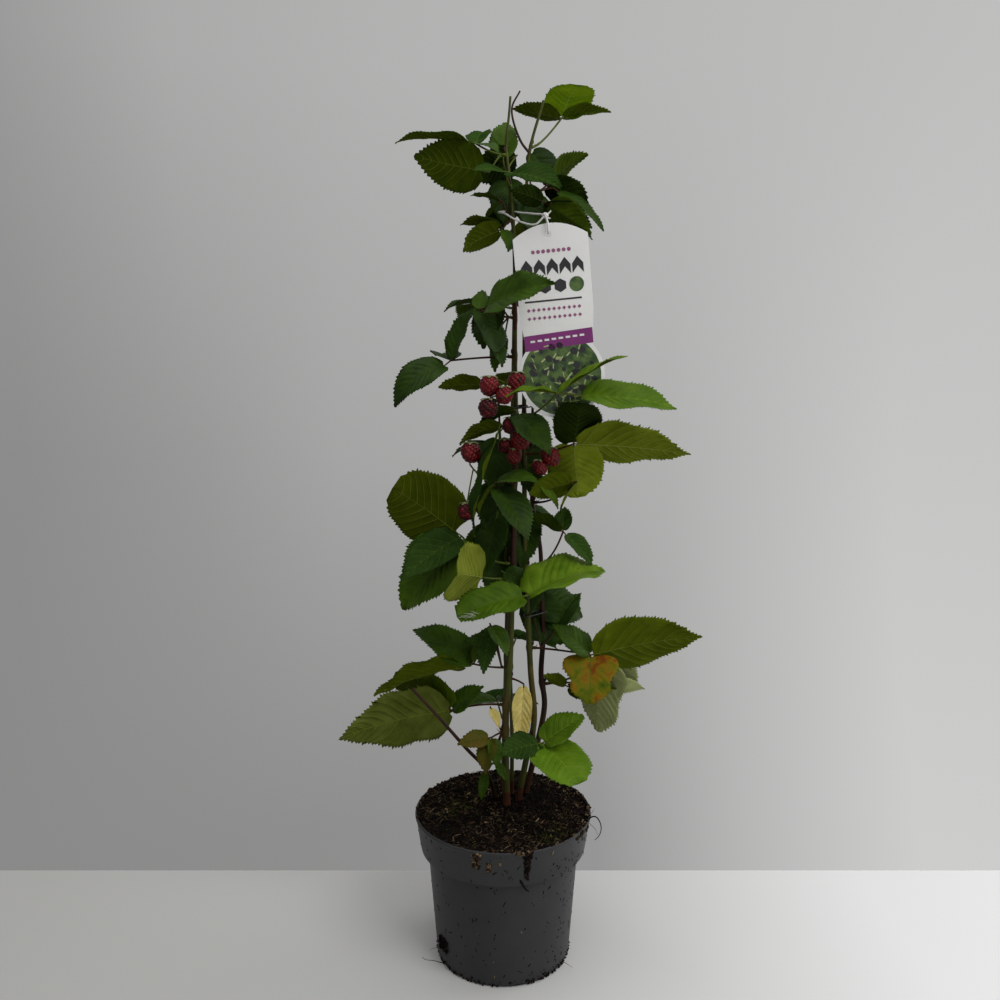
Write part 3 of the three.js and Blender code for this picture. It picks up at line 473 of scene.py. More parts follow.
# Name: low and high colour, roughness, then as above, then what else differs from the usual
LOOKS = {
    "cane_green": ((0.024, 0.028, 0.005), (0.054, 0.064, 0.009), 0.45, *STEM,
                   {"specular": 0.12, "stops": [(0.5, (0.040, 0.042, 0.007))]}),
    "cane_dark": ((0.014, 0.006, 0.004), (0.040, 0.017, 0.009), 0.45, *STEM,
                  {"specular": 0.12}),
    "cane_red": ((0.030, 0.010, 0.005), (0.066, 0.024, 0.010), 0.5, *STEM, {"specular": 0.1}),
    "cane_olive": ((0.040, 0.030, 0.006), (0.072, 0.056, 0.012), 0.5, 40, 500, 0.3, 0.0004,
                   {"specular": 0.12}),
    "stalk_green": ((0.044, 0.064, 0.007), (0.076, 0.096, 0.012), *STALK_SKIN),
    "stalk_red": ((0.020, 0.008, 0.004), (0.056, 0.024, 0.009), *STALK_SKIN),
    "husk": ((0.26, 0.29, 0.20), (0.42, 0.45, 0.34), 0.7, 60, 700, 0.2, 0.0003, {}),
    "berry_red": ((0.060, 0.0022, 0.0030), (0.140, 0.0060, 0.0078), 0.3, *BERRY_SKIN,
                  {"island": 0.35, "specular": 0.2}),
    # Dark ripe drupelets, and the core, whose darkness is painted shade in the gaps between them
    "berry_dark": ((0.020, 0.0020, 0.0030), (0.062, 0.0050, 0.0070), 0.34, *BERRY_SKIN,
                   {"island": 0.3, "specular": 0.16}),
    "calyx": ((0.120, 0.150, 0.050), (0.200, 0.220, 0.095), 0.6, *FINE),
    "stamen": ((0.16, 0.10, 0.04), (0.28, 0.19, 0.08), 0.7, *FINE),
    "pot_plastic": ((0.0165, 0.0170, 0.0180), (0.0250, 0.0255, 0.0270), 0.5, 14, 1500, 0.10,
                    0.0002, {"specular": 0.3, "detail": 8.0}),
    "soil_dark": ((0.0015, 0.0011, 0.0009), (0.0065, 0.0043, 0.0028), 0.95, 130, 600, 0.8,
                  0.0012, {"specular": 0.05}),
    "crumb_dark": ((0.0015, 0.0011, 0.0009), (0.0070, 0.0044, 0.0030), 0.9, *GRAIN,
                   {"island": 0.5, "specular": 0.1}),
    "crumb_brown": ((0.010, 0.0050, 0.0026), (0.032, 0.0165, 0.0085), 0.85, *GRAIN,
                    {"island": 0.5, "specular": 0.12}),
    "crumb_tan": ((0.060, 0.038, 0.018), (0.165, 0.115, 0.064), 0.8, *SOFT_GRAIN,
                  {"island": 0.45, "specular": 0.15}),
    "moss": ((0.014, 0.016, 0.003), (0.056, 0.058, 0.014), 0.9, *SOFT_GRAIN,
             {"island": 0.5, "specular": 0.05}),
    "card_white": ((0.66, 0.655, 0.645), (0.74, 0.735, 0.725), 0.28, 9, 300, *GLOSS),
    "card_purple": ((0.145, 0.010, 0.120), (0.185, 0.016, 0.150), 0.3, 30, 400, *GLOSS),
    "card_black": ((0.010, 0.010, 0.011), (0.018, 0.018, 0.019), 0.3, 30, 400, *GLOSS),
    "card_green": ((0.020, 0.050, 0.010), (0.075, 0.130, 0.026), 0.32, 120, 400, 0.03, 0.0002,
                   {"coat": 0.3, "from": 0.42, "to": 0.58}),
    "card_pale": ((0.30, 0.36, 0.14), (0.42, 0.46, 0.22), 0.32, 120, 400, *GLOSS),
    "card_lilac": ((0.20, 0.055, 0.130), (0.26, 0.080, 0.170), 0.3, 60, 400, *GLOSS),
    "loop_white": ((0.56, 0.55, 0.53), (0.70, 0.69, 0.67), 0.45, 300, 1200, 0.3, 0.0002, {}),
    "tie_black": ((0.010, 0.010, 0.010), (0.022, 0.022, 0.022), 0.5, 200, 900, 0.2, 0.0002, {}),
}
LOOK = {name: mottled(name, *row[:-1], **row[-1]) for name, row in LOOKS.items()}


def looks(*names):
    return [LOOK[name] for name in names]


def show(name, data):
    """Puts an object with this data into the scene."""
    made = bpy.data.objects.new(name, data)
    bpy.context.scene.collection.objects.link(made)
    return made


def set_out(name, mesh):
    """Puts a mesh into the scene as a piece of the plant's one body."""
    piece = show(name, mesh)
    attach(piece, "root")
    return piece


# Collects shapes of one kind, in millimetres, into one mesh
class Heap:
    def __init__(self):
        self.points, self.faces, self.marks = [], [], []
        self.count = 0

    def add(self, points, faces, mark=0):
        points = np.asarray(points, float).reshape(-1, 3)
        faces = np.asarray(faces, int)
        self.points.append(points)
        self.faces.append(faces + self.count)
        marks = np.full(len(faces), mark) if np.isscalar(mark) else np.asarray(mark)
        self.marks.append(marks)
        self.count += len(points)

    def build(self, name, materials, slot, nodes=(), smooth=True, sharp=None):
        mesh = bpy.data.meshes.new(name)
        points = np.concatenate(self.points) * MM
        starts, loops, begin = [], [], 0
        for faces in self.faces:
            rows, sides = faces.shape
            starts.append(begin + np.arange(rows) * sides)
            loops.append(faces.ravel())
            begin += faces.size
        starts, loops = np.concatenate(starts), np.concatenate(loops)
        mesh.vertices.add(len(points))
        mesh.vertices.foreach_set("co", points.astype(np.float32).ravel())
        mesh.loops.add(len(loops))
        mesh.loops.foreach_set("vertex_index", loops.astype(np.int32))
        mesh.polygons.add(len(starts))
        mesh.polygons.foreach_set("loop_start", starts.astype(np.int32))
        marks = np.concatenate(self.marks).astype(np.int32)
        mesh.polygons.foreach_set("material_index", marks)
        mesh.polygons.foreach_set("use_smooth", np.full(len(starts), smooth))
        mesh.update(calc_edges=True)
        mesh.validate()
        if sharp is not None:
            mesh.set_sharp_from_angle(angle=math.radians(sharp))
        for made in materials:
            mesh.materials.append(made)
        piece = set_out(name, mesh)
        if nodes:
            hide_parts(*nodes)


def unit(vector):
    vector = np.asarray(vector, float)
    return vector / max(1e-9, float(np.linalg.norm(vector)))


def units(rows):
    return rows / np.maximum(1e-9, np.linalg.norm(rows, axis=-1, keepdims=True))


def field(row, place, usual):
    """An entry that a row of a table may leave out."""
    return row[place] if len(row) > place else usual


def polar(radius, angle):
    return radius * math.cos(angle), radius * math.sin(angle)


def toward(angle, rise=0):
    return np.array([math.cos(angle), math.sin(angle), rise])


def sideways_of(angle):
    return np.array([-math.sin(angle), math.cos(angle), 0])


def quads(rows, columns, closed=False):
    """Faces of a grid of points, row by row, wrapped across the columns if closed."""
    across = columns if closed else columns - 1
    i, j = np.meshgrid(np.arange(rows - 1), np.arange(across), indexing="ij")
    k = (j + 1) % columns
    return np.stack([i * columns + j, (i + 1) * columns + j, (i + 1) * columns + k,
                     i * columns + k], -1).reshape(-1, 4)


def tube(heap, path, radii, sides=8, mark=0, squash=1.0, ridges=0.0, ends=True):
    """A round or ribbed limb along a path, closed at both ends."""
    path = np.asarray(path, float)
    radii = np.broadcast_to(np.asarray(radii, float), (len(path),))
    tangents = units(np.gradient(path, axis=0))
    normal = unit(np.cross(tangents[0], (0.31, 0.17, 1.0) if abs(tangents[0][2]) < 0.9
                           else (0.0, 1.0, 0.0)))
    turns = 2 * math.pi * np.arange(sides) / sides
    rings = []
    for centre, tangent, radius in zip(path, tangents, radii):
        normal = unit(normal - tangent * float(normal @ tangent))
        across = np.cross(tangent, normal)
        reach = radius * (1 + ridges * np.cos(5 * turns))
        rings.append(centre + np.outer(reach * np.cos(turns), normal)
                     + np.outer(squash * reach * np.sin(turns), across))
    heap.add(np.concatenate(rings), quads(len(path), sides, True)[:, ::-1], mark)
    if ends:
        for ring, centre, turn in ((rings[0], path[0], 1), (rings[-1], path[-1], -1)):
            cap = [[0, k + 1, (k + 1) % sides + 1][::turn] for k in range(sides)]
            heap.add(np.vstack([centre, ring]), cap, mark)


def centripetal(path, closed=False):
    """Points and lengths along a centripetal Catmull-Rom curve."""
    path = [np.asarray(p, float) for p in path]
    count = len(path)
    spans = count if closed else count - 1
    points = []
    for i in range(spans):
        if closed:
            a, b, c, d = (path[(i + k) % count] for k in (-1, 0, 1, 2))
        else:
            b, c = path[i], path[i + 1]
            a = path[i - 1] if i > 0 else 2 * b - c
            d = path[i + 2] if i + 2 < count else 2 * c - b
        t0, t1, t2 = (max(1e-4, float(np.linalg.norm(q - p)) ** 0.5)
                      for p, q in ((a, b), (b, c), (c, d)))
        first = ((b - a) / t0 - (c - a) / (t0 + t1) + (c - b) / t1) * t1
        last = ((c - b) / t1 - (d - b) / (t1 + t2) + (d - c) / t2) * t1
        for step in range(12):
            u = step / 12
            points.append(b + first * u + (3 * (c - b) - 2 * first - last) * u * u
                          + (first + last - 2 * (c - b)) * u ** 3)
    points.append(path[0] if closed else path[-1])
    points = np.array(points)
    lengths = np.concatenate([[0], np.cumsum(np.linalg.norm(np.diff(points, axis=0), axis=1))])
    return points, lengths


def spaced(points, lengths, count):
    at = np.linspace(0, lengths[-1], count)
    return np.stack([np.interp(at, lengths, points[:, k]) for k in range(3)], -1)


def bezier(start, middle, end, count):
    t = np.linspace(0, 1, count)[:, None]
    return (1 - t) ** 2 * start + 2 * t * (1 - t) * middle + t * t * end


# Canes
SOIL_TOP = SOIL["centre"] + 0.3
CANE_LINES = {}
for name, (foot, tip, _, path) in CANES.items():
    path = [list(map(float, p)) for p in path]
    path[0][2] = SOIL_TOP
    points, lengths = centripetal(path)
    line = spaced(points, lengths, max(20, round(lengths[-1] / 5)))
    share = np.linspace(0, 1, len(line))
    CANE_LINES[name] = (line, foot + (tip - foot) * share ** 1.4)


def cane_point(name, height):
    line, radii = CANE_LINES[name]
    i = 1
    while i < len(line) - 1 and line[i][2] < height:
        i += 1
    share = (height - line[i - 1][2]) / (line[i][2] - line[i - 1][2])
    centre = line[i - 1] + (line[i] - line[i - 1]) * share
    return centre, radii[i - 1] + (radii[i] - radii[i - 1]) * share


# The back of the crown, by the source's seeded rule
def back_masses():
    state = [BACK["seed"]]

    def pick(limits):
        state[0] = state[0] * 16807 % 2147483647
        return limits[0] + (limits[1] - limits[0]) * state[0] / 2147483647

    masses = []
    for i in range(BACK["count"]):
        height = BACK["first"] + BACK["step"] * i
        cane = "cane_back" if height < BACK["change"] else "cane_second"
        heading = 90 + (1 if i % 2 == 0 else -1) * pick(BACK["swing"])
        length, rise, reach = pick(BACK["length"]), pick(BACK["rise"]), pick(BACK["reach"])
        joint = cane_point(cane, height)[0].copy()
        joint[0] += reach * math.cos(math.radians(heading))
        joint[1] += reach * math.sin(math.radians(heading))
        joint[2] += pick(BACK["lift"])
        blades = []
        for k, turn in enumerate((0, BACK["spread"], -BACK["spread"])):
            long = length if k == 0 else length * BACK["side"]
            blades.append((long, heading + turn, rise, pick(BACK["bank"])))
        masses.append((f"leaves_back_{i + 1}", cane, height, [(tuple(joint), blades)]))
    return masses


# Leaflets
def blade_frame(heading, rise, bank):
    az, el, roll = (math.radians(value) for value in (heading, rise, bank))
    along = np.array([math.cos(el) * math.cos(az), math.cos(el) * math.sin(az), math.sin(el)])
    level = np.array([-math.sin(az), math.cos(az), 0])
    above = np.cross(along, level)
    side = level * math.cos(roll) + above * math.sin(roll)
    up = above * math.cos(roll) - level * math.sin(roll)
    return along, side, up


VEIN = {"first": 0.05, "span": 0.80, "lean": 0.24, "curve": 0.05}
# A leaflet's thickness and the length of a tooth
THICK, TOOTH = 0.35, 3.6
# Shares of its length that a tooth is deep and that its face puckers, and its share of the
# full width
TOOTH_DEPTH, PUCKER, NARROWED = 0.034, 0.019, 0.95
# Where the teeth begin and how much of the edge they take up; where in its span a tooth peaks,
# the sizes of small and big ones and how they vary; how far they lean, and the most of the
# half width that they cut
TEETH = {
    "first": 0.04, "span": 0.94, "peak": 0.62, "small": 0.8, "big": 1.5, "vary": (0.75, 1.2),
    "lean": 0.45, "most": 0.35,
}
# Share of the full width along a leaflet, for ones of three roundnesses
SHARES = (0, 0.03, 0.08, 0.16, 0.28, 0.40, 0.52, 0.64, 0.75, 0.84, 0.91, 0.96, 1)
ROUNDNESS = (0.66, 0.84, 0.97)
OUTLINES = (
    (0.26, 0.50, 0.74, 0.91, 1.0, 0.99, 0.90, 0.74, 0.54, 0.34, 0.17, 0.07, 0),
    (0.34, 0.60, 0.80, 0.93, 1.0, 1.0, 0.95, 0.84, 0.67, 0.46, 0.25, 0.10, 0),
    (0.34, 0.58, 0.74, 0.87, 0.97, 1.0, 0.99, 0.94, 0.85, 0.71, 0.52, 0.33, 0),
)
LOBED = {("leaves_low_left", 0, 0): 0.09, ("leaves_front_low", 0, 0): 0.05}
ROUND = (0.44, 0.66, 0.80, 0.92, 0.99, 1.0, 0.99, 0.96, 0.89, 0.78, 0.62, 0.43, 0)
THREE_LOBED = (0.46, 0.76, 0.93, 1.0, 0.96, 0.80, 0.68, 0.70, 0.66, 0.48, 0.30, 0.15, 0)
SHAPES = {
    ("leaves_left_middle", 0, 0): ROUND, ("leaves_top_right", 0, 0): ROUND,
    ("leaves_bottom_front", 0, 2): ROUND, ("leaves_low_right", 0, 2): THREE_LOBED,
    ("leaves_low_right_pale", 0, 0): THREE_LOBED, ("leaves_low_left", 0, 1): ROUND,
    ("leaves_left_pale", 0, 0): ROUND, ("leaves_front_low", 0, 0): ROUND,
}
# Share of the usual fold, twist, waves and hooked tip that the flatter leaflets keep
FLAT = {
    ("leaves_top_right", 0, 0): 0.1, ("leaves_left_middle", 0, 0): 0.2,
    ("leaves_bottom_front", 0, 2): 0.4, ("leaves_low_left", 0, 0): 0.3,
    ("leaves_low_right", 0, 2): 0.4, ("leaves_low_right", 0, 0): 0.5,
    ("leaves_right_middle", 0, 0): 0.6, ("leaves_top_left", 1, 0): 0.4,
    ("leaves_low_right_pale", 0, 0): 0.4, ("leaves_right_middle", 0, 2): 0.5,
}
TOOTHLESS = ("dry",)


class Blade:
    """The surface of one leaflet: u runs from its root to its tip, s across it from -1 to 1."""

    def __init__(self, joint, blade, stalk, random, lobes, shares, flat):
        self.length, heading, rise, bank = blade[:4]
        self.bend = math.radians(field(blade, 4, LEAFLET["droop"]))
        self.ratio = field(blade, 5, LEAFLET["ratio"])
        along, self.side, up = blade_frame(heading, rise, bank)
        self.root = np.asarray(joint, float) + along * stalk
        half = self.bend / 2
        self.along = along * math.cos(half) + up * math.sin(half)
        self.up = up * math.cos(half) - along * math.sin(half)
        self.fold = math.radians(LEAFLET["fold"] * random.uniform(0.7, 1.5)) * flat
        self.twist = math.radians(random.uniform(-14, 14)) * flat
        self.wave = random.uniform(0.010, 0.024) * (0.4 + 0.6 * flat)
        self.waves = random.uniform(1.4, 2.6)
        self.phases = random.uniform(0, 1, 2)
        self.hook = random.uniform(0.01, 0.06) * flat
        self.sway = random.uniform(-0.03, 0.03)
        self.lobes = lobes or random.uniform(0, 0.025)
        self.pairs = 8 if self.length > 85 else 7 if self.length > 50 else 6
        self.shares = shares or [
            float(np.interp(self.ratio, ROUNDNESS, column)) for column in zip(*OUTLINES)]
        self.heart = float(np.interp(self.ratio, ROUNDNESS, (0.02, 0.05, 0.05)))
        self.lean = VEIN["lean"] * min(1.2, (self.ratio / 0.66) ** 0.5)

    def half_width(self, t):
        share = np.interp(t, SHARES, self.shares)
        lobed = 1 + self.lobes * np.cos(2 * math.pi * (2.4 * t + self.phases[0]))
        return NARROWED * self.length * self.ratio * share * lobed / 2

    def along_at(self, u, out):
        """How far along the leaflet a row that starts at u has come, so rows follow the veins."""
        run = self.lean * out + VEIN["curve"] * out ** 2
        late = np.clip((u - 0.4) / 0.6, 0, 1) ** 1.5
        return u + run * (1 - late) * np.clip(u / 0.12, 0, 1)

    def at(self, u, s, extra=0.0, ahead=0.0):
        u, s = np.asarray(u, float), np.asarray(s, float)
        out = np.abs(s)
        t = self.along_at(u, out)
        width = self.half_width(t) + extra
        t = t + ahead - self.heart * out ** 2 * np.clip(1 - t / 0.14, 0, 1)
        angle = (self.bend * t)[..., None]
        size = self.length / self.bend
        point = self.root + self.along * (size * np.sin(angle)) - self.up * (
            size * (1 - np.cos(angle)))
        normal = self.up * np.cos(angle) + self.along * np.sin(angle)
        turn = (self.twist * (t - 0.2))[..., None]
        side = self.side * np.cos(turn) + normal * np.sin(turn)
        up = normal * np.cos(turn) - self.side * np.sin(turn)
        lift = width * math.sin(self.fold) * out * (1.5 - 0.6 * out)
        phase = np.where(s > 0, self.phases[0], self.phases[1])
        lift = lift + self.wave * self.length * out ** 2 * np.sin(
            2 * math.pi * (self.waves * t + phase))
        veins = (u - VEIN["first"]) * self.pairs / VEIN["span"]
        pucker = PUCKER * self.length * (np.abs(np.sin(math.pi * veins)) ** 0.7 - 0.6)
        lift = lift + pucker * np.clip(4 * out, 0, 1) * (1 - out ** 3) * np.clip(
            9 * t, 0, 1) * np.clip(4 * (1 - t), 0, 1)
        lift = lift - self.hook * self.length * np.clip((t - 0.65) / 0.35, 0, 1) ** 2
        sway = self.sway * self.length * np.sin(math.pi * np.clip(t, 0, 1))
        across = width * s * math.cos(self.fold) + sway
        return point + side * across[..., None] + up * lift[..., None], up


COLUMNS = np.array([-1, -0.88, -0.7, -0.5, -0.3, -0.12, 0, 0.12, 0.3, 0.5, 0.7, 0.88, 1.0])


def blade_mesh(heap, blade, random, upper, lower, toothed):
    teeth = max(8, round(blade.length / TOOTH))
    span = TEETH["span"] / teeth
    edge, notch = [0.0, 0.02], [0.0, 0.0]
    for i in range(teeth):
        big = TEETH["small"] if i % 3 else TEETH["big"]
        edge += [TEETH["first"] + i * span, TEETH["first"] + (i + TEETH["peak"]) * span]
        notch += [0.0, big * random.uniform(*TEETH["vary"])]
    edge, notch = np.array(edge + [1.0]), np.array(notch + [0.0])
    fine = np.linspace(0, 1, 800)
    starts = np.interp(edge, blade.along_at(fine, 1.0), fine)
    for i in range(blade.pairs + 1):
        vein = VEIN["first"] + VEIN["span"] * i / blade.pairs
        near = 1 + int(np.argmin(np.abs(starts[1:-1] - vein)))
        starts[near] = vein
    u, s = np.meshgrid(starts, COLUMNS, indexing="ij")
    extra, ahead = np.zeros_like(u), np.zeros_like(u)
    depth = TOOTH_DEPTH * blade.length ** 0.9 * notch * toothed
    depth = np.minimum(depth, TEETH["most"] * blade.half_width(edge))
    for column in (0, -1):
        extra[:, column] = depth
        ahead[:, column] = TEETH["lean"] * span * (notch > 0)
    top, up = blade.at(u, s, extra, ahead)
    under = top - up * THICK
    rows, columns = u.shape
    grid = quads(rows, columns)
    count = rows * columns
    heap.add(
        np.concatenate([top.reshape(-1, 3), under.reshape(-1, 3)]),
        np.concatenate([grid, grid[:, ::-1] + count, rim_faces(rows, columns)]),
        np.concatenate([np.full(len(grid), upper), np.full(len(grid), lower),
                        np.full(2 * (rows - 1) + 2 * (columns - 1), upper)]),
    )


def rim_faces(rows, columns):
    """Joins the upper and lower grids of a leaflet all round its edge."""
    count = rows * columns
    left = np.arange(rows) * columns
    right = left + columns - 1
    front = np.arange(columns)
    back = front + (rows - 1) * columns
    faces = []
    for line, turned in ((left, True), (right, False), (front, False), (back, True)):
        a, b = line[:-1], line[1:]
        face = np.stack([a, b, b + count, a + count], -1)
        faces.append(face[:, ::-1] if turned else face)
    return np.concatenate(faces)


def rib(heap, points, ups, widths, heights, mark):
    """A low ridge that runs along points on a face."""
    tangents = units(np.gradient(points, axis=0))
    across = units(np.cross(tangents, ups))
    widths = np.asarray(widths)[:, None]
    lines = np.stack([points - across * widths, points + ups * np.asarray(heights)[:, None],
                      points + across * widths], 1)
    heap.add(lines.reshape(-1, 3), quads(len(points), 3)[:, ::-1], mark)


def blade_veins(heap, blade, upper, lower):
    size = (blade.length / 80) ** 0.5
    middle = np.linspace(0.0, 0.97, 14)
    side = np.linspace(0.0, 0.95, 9)
    lines = [(middle, np.zeros_like(middle), 1 - 0.75 * middle, 1.0, 1.0)]
    for i in range(blade.pairs + 1):
        first = VEIN["first"] + VEIN["span"] * i / blade.pairs
        for sign in (-1, 1):
            lines.append((np.full_like(side, first), side * sign, 1 - 0.7 * side, 0.62, 0.6))
    for u, s, taper, wide, high in lines:
        point, up = blade.at(u, s)
        rib(heap, point + up * 0.05, up, 0.46 * wide * size * taper, 0.10 * high * size * taper,
            upper)
        rib(heap, point - up * (THICK + 0.02), -up, 0.52 * wide * size * taper,
            0.5 * high * size * taper, lower)


PARTS = ("high", "middle", "low", "back")
FOLIAGE = {part: Heap() for part in PARTS}
VEINS = {part: Heap() for part in PARTS}
FOLIAGE_NODES = {part: [] for part in PARTS}
STALKS = Heap()
CANE_BUDS = []


# Heights above which a mass counts as high and as middle
HIGH, MIDDLE = 640, 380


def part_of(name, height):
    if "back_" in name:
        return "back"
    return "high" if height > HIGH else "middle" if height > MIDDLE else "low"


SHREDDED = ("leaves_front_low", 0, 0)
SHREDS = 16
RED_SHARE = 0.35
RED_STALKED = (
    "leaves_low_left", "leaves_low_left_upper", "leaves_left_arching", "leaves_low_right",
)


def shreds(leaf, random):
    """Dried white fibres on a leaf's edge near its tip."""
    for _ in range(SHREDS):
        u, side = random.uniform(0.62, 0.88), random.uniform(0.45, 0.95)
        start = leaf.at(np.array([u]), np.array([side]))[0][0] + (0, 0, 1.2)
        turn = random.uniform(-0.7, 0.7)
        ahead = np.array([math.cos(turn), -0.2, 0.5 * math.sin(turn)])
        long = random.uniform(6, 14)
        line = [start - ahead * long / 2, start + (0, -0.6, 1.2), start + ahead * long / 2]
        tube(STALKS, line, [0.18, 0.32, 0.12], 3, 2, ends=False)


# A stalk's points, its radius, how much more it has at its foot and how far it bows; an arm's
# points and its radii at both ends
STALK = {"points": 18, "radius": 1.0, "swell": 0.45, "flare": 1.35, "bow": 0.45}
ARM = {"points": 14, "radii": (0.95, 0.8), "from": 9, "lift": 1.5}


def stipules(start, direction, random):
    """The pair of narrow leafy horns at a stalk's foot."""
    for sign in (-1, 1):
        side = unit(np.cross(direction, (0, 0, 1))) * sign
        line = [start + direction * 3, start + direction * 5 + side * 2 + (0, 0, 1.5),
                start + direction * 7 + side * random.uniform(3, 5) + (0, 0, 4)]
        tube(STALKS, line, [0.5, 0.45, 0.08], 4, 0)


def grow(mass, index):
    name, cane, height, arms = mass[:4]
    heading, bow = field(mass, 4, None), field(mass, 5, STALK["bow"])
    random = np.random.RandomState(100 + index)
    centre, radius = cane_point(cane, height)
    goal = np.array(arms[0][0], float)
    out = unit((goal - centre) * (1, 1, 0))
    if heading is not None:
        out = toward(math.radians(heading))
    start = centre + out * radius * 0.6
    CANE_BUDS.append((cane, height, out, centre, radius))
    reach = float(np.linalg.norm(goal - start))
    main = bezier(start, start + out * reach * bow, goal, STALK["points"])
    part = part_of(name, height)
    FOLIAGE_NODES[part].append(name)
    more = MORE.get(name, [])
    tints = dict(TINTS)
    for number, arm in enumerate(more, len(arms)):
        tints.update({(name, number, k): arm[2].split() for k in range(len(arm[1]))})
    arms = [*arms, *[arm[:2] for arm in more]]
    red = 1 if CANES[cane][2] == "dark" or random.uniform() < RED_SHARE else 0
    if name in RED_STALKED:
        red = 1
    for number, (joint, blades) in enumerate(arms):
        joint = np.array(joint, float)
        if number == 0:
            line = main
            radii = 1 - np.linspace(0, 1, STALK["points"])
            radii = STALK["radius"] + STALK["swell"] * radii ** 3
            radii[:2] *= STALK["flare"]
        else:
            origin = bezier(start, start + out * reach * bow, goal, 51)[ARM["from"]]
            middle = (origin + joint) / 2 + (0, 0, ARM["lift"])
            line = bezier(origin, middle, joint, ARM["points"])
            radii = np.linspace(*ARM["radii"], ARM["points"])
        tube(STALKS, line, radii, 8, red)
        if number == 0 and name != "dry_leaf":
            stipules(start, unit(line[2] - line[0]), random)
        for k, blade in enumerate(blades):
            usual = blade[0] * LEAFLET["stalk"] if k == 0 else LEAFLET["side_stalk"]
            spot = (name, number, k)
            leaf = Blade(joint, blade, field(blade, 6, usual), random, LOBED.get(spot, 0.0),
                         SHAPES.get(spot), FLAT.get(spot, 1.0))
            if spot == SHREDDED:
                shreds(leaf, random)
            upper, lower = tints.get(spot) or USUAL_TINTS[random.randint(3)]
            blade_mesh(FOLIAGE[part], leaf, random, LEAF_ORDER.index(upper),
                       LEAF_ORDER.index(lower), 0.15 if upper in TOOTHLESS else 1.0)
            blade_veins(VEINS[part], leaf, VEIN_ORDER.index(VEINS_OF[upper]),
                        VEIN_ORDER.index(VEINS_OF.get(lower, "vein_lower")))
            low = leaf.at(np.array([0.0, 0.03]), np.zeros(2))[0]
            tube(STALKS, [joint, (joint + low[0]) / 2, low[0], low[1] - leaf.up * 0.4],
                 [0.85, 0.8, 0.75, 0.5], 6, red)


for index, mass in enumerate([*MASSES, DRY_LEAF, *back_masses()]):
    grow(mass, index)
for part, heap in FOLIAGE.items():
    heap.build("foliage_" + part, [LEAF_MATERIALS[tint] for tint in LEAF_ORDER], "foliage",
               FOLIAGE_NODES[part])
for part, heap in VEINS.items():
    heap.build("veins_" + part, [VEIN_MATERIALS[vein] for vein in VEIN_ORDER], "foliage")

# Canes with a swelling and a bud at each leaf
CANE_HEAP = Heap()
# Heights between which a cane isn't of its plain colour: 1 dark, 2 reddish, 3 olive brown
CANE_ZONES = {
    "cane_front": [(240, 290, 3), (418, 470, 1), (520, 560, 2), (640, 668, 3), (672, 708, 2)],
    "cane_second": [(252, 318, 3), (560, 600, 2), (700, 760, 2)],
    "cane_thin": [(300, 380, 2), (470, 540, 2)],
}
FOOT_TOP = 182


def zone_at(zones, z, plain):
    return next((mark for low, high, mark in zones if low <= z <= high), plain)


for name, (line, radii) in CANE_LINES.items():
    swollen = radii.copy()
    for cane, height, *_ in CANE_BUDS:
        if cane == name:
            swollen *= 1 + 0.28 * np.exp(-((line[:, 2] - height) / 4.0) ** 2)
    swollen[:3] *= (1.12, 1.06, 1.02)
    plain = 1 if CANES[name][2] == "dark" else 0
    zones = [row for row in CANE_ZONES.get(name, ()) if row[0] < line[-1][2]]
    zones = [(line[0][2], FOOT_TOP, 1 if plain else 2), *zones]
    begin = 0
    while begin < len(line) - 1:
        mark = zone_at(zones, line[begin + 1][2], plain)
        end = begin + 1
        while end < len(line) - 1 and mark == zone_at(zones, line[end + 1][2], plain):
            end += 1
        tube(CANE_HEAP, line[begin:end + 1], swollen[begin:end + 1], 15, mark, ridges=0.045)
        begin = end
for cane, height, out, centre, radius in CANE_BUDS:
    start = centre + out * radius * 0.8 + (0, 0, 2.2)
    line = [start, start + out * 1.0 + (0, 0, 2), start + out * 1.5 + (0, 0, 4.4),
            start + out * 1.4 + (0, 0, 6.2)]
    tube(CANE_HEAP, line, [1.0, 1.5, 1.0, 0.15], 7, 1)
shoot_cane, shoot_height, shoot_path = SHOOT
centre, radius = cane_point(shoot_cane, shoot_height)
points, lengths = centripetal([centre, *shoot_path])
line = spaced(points, lengths, 30)
tube(CANE_HEAP, line, np.linspace(1.4, 0.8, 30), 8, 1)
CANE_HEAP.build("canes", looks("cane_green", "cane_dark", "cane_red", "cane_olive"),
                "cane_green_wood", [*CANES, "shoot_bare"])

# Fruit
ball = bmesh.new()
bmesh.ops.create_icosphere(ball, subdivisions=2, radius=1.0)
BALL_POINTS = np.array([v.co[:] for v in ball.verts])
BALL_FACES = np.array([[v.index for v in f.verts] for f in ball.faces])
ball.free()
FRUIT_HEAP = Heap()
# Counts of a berry's parts, the height above which it is bare, its height to its width, how far
# in its drupelets lie, their size and the core's, as shares of its radius
BERRY = {
    "drupelets": 62, "sepals": 5, "stamens": 12, "bare": 0.86, "tall": 1.1, "inset": 0.76,
    "bulge": (0.29, 0.34), "core": (0.7, 0.78), "tilt": 0.25,
}
# How often a drupelet of a berry is dark, where it isn't the usual share
DARK_SHARE = {
    ("fruit_high", 3): 0.9, ("fruit_middle", 0): 0.8, ("fruit_middle", 3): 0.8,
    ("fruit_left", 1): 0.7,
}
USUAL_DARK_SHARE = 0.1
# A sepal from its foot to its tip, in shares of the berry's radius: reach, half width and rise
SEPAL = np.array([(0, 0.20, 0.16), (0.3, 0.30, 0.26), (0.62, 0.22, 0.22), (0.95, 0.02, 0.06)])


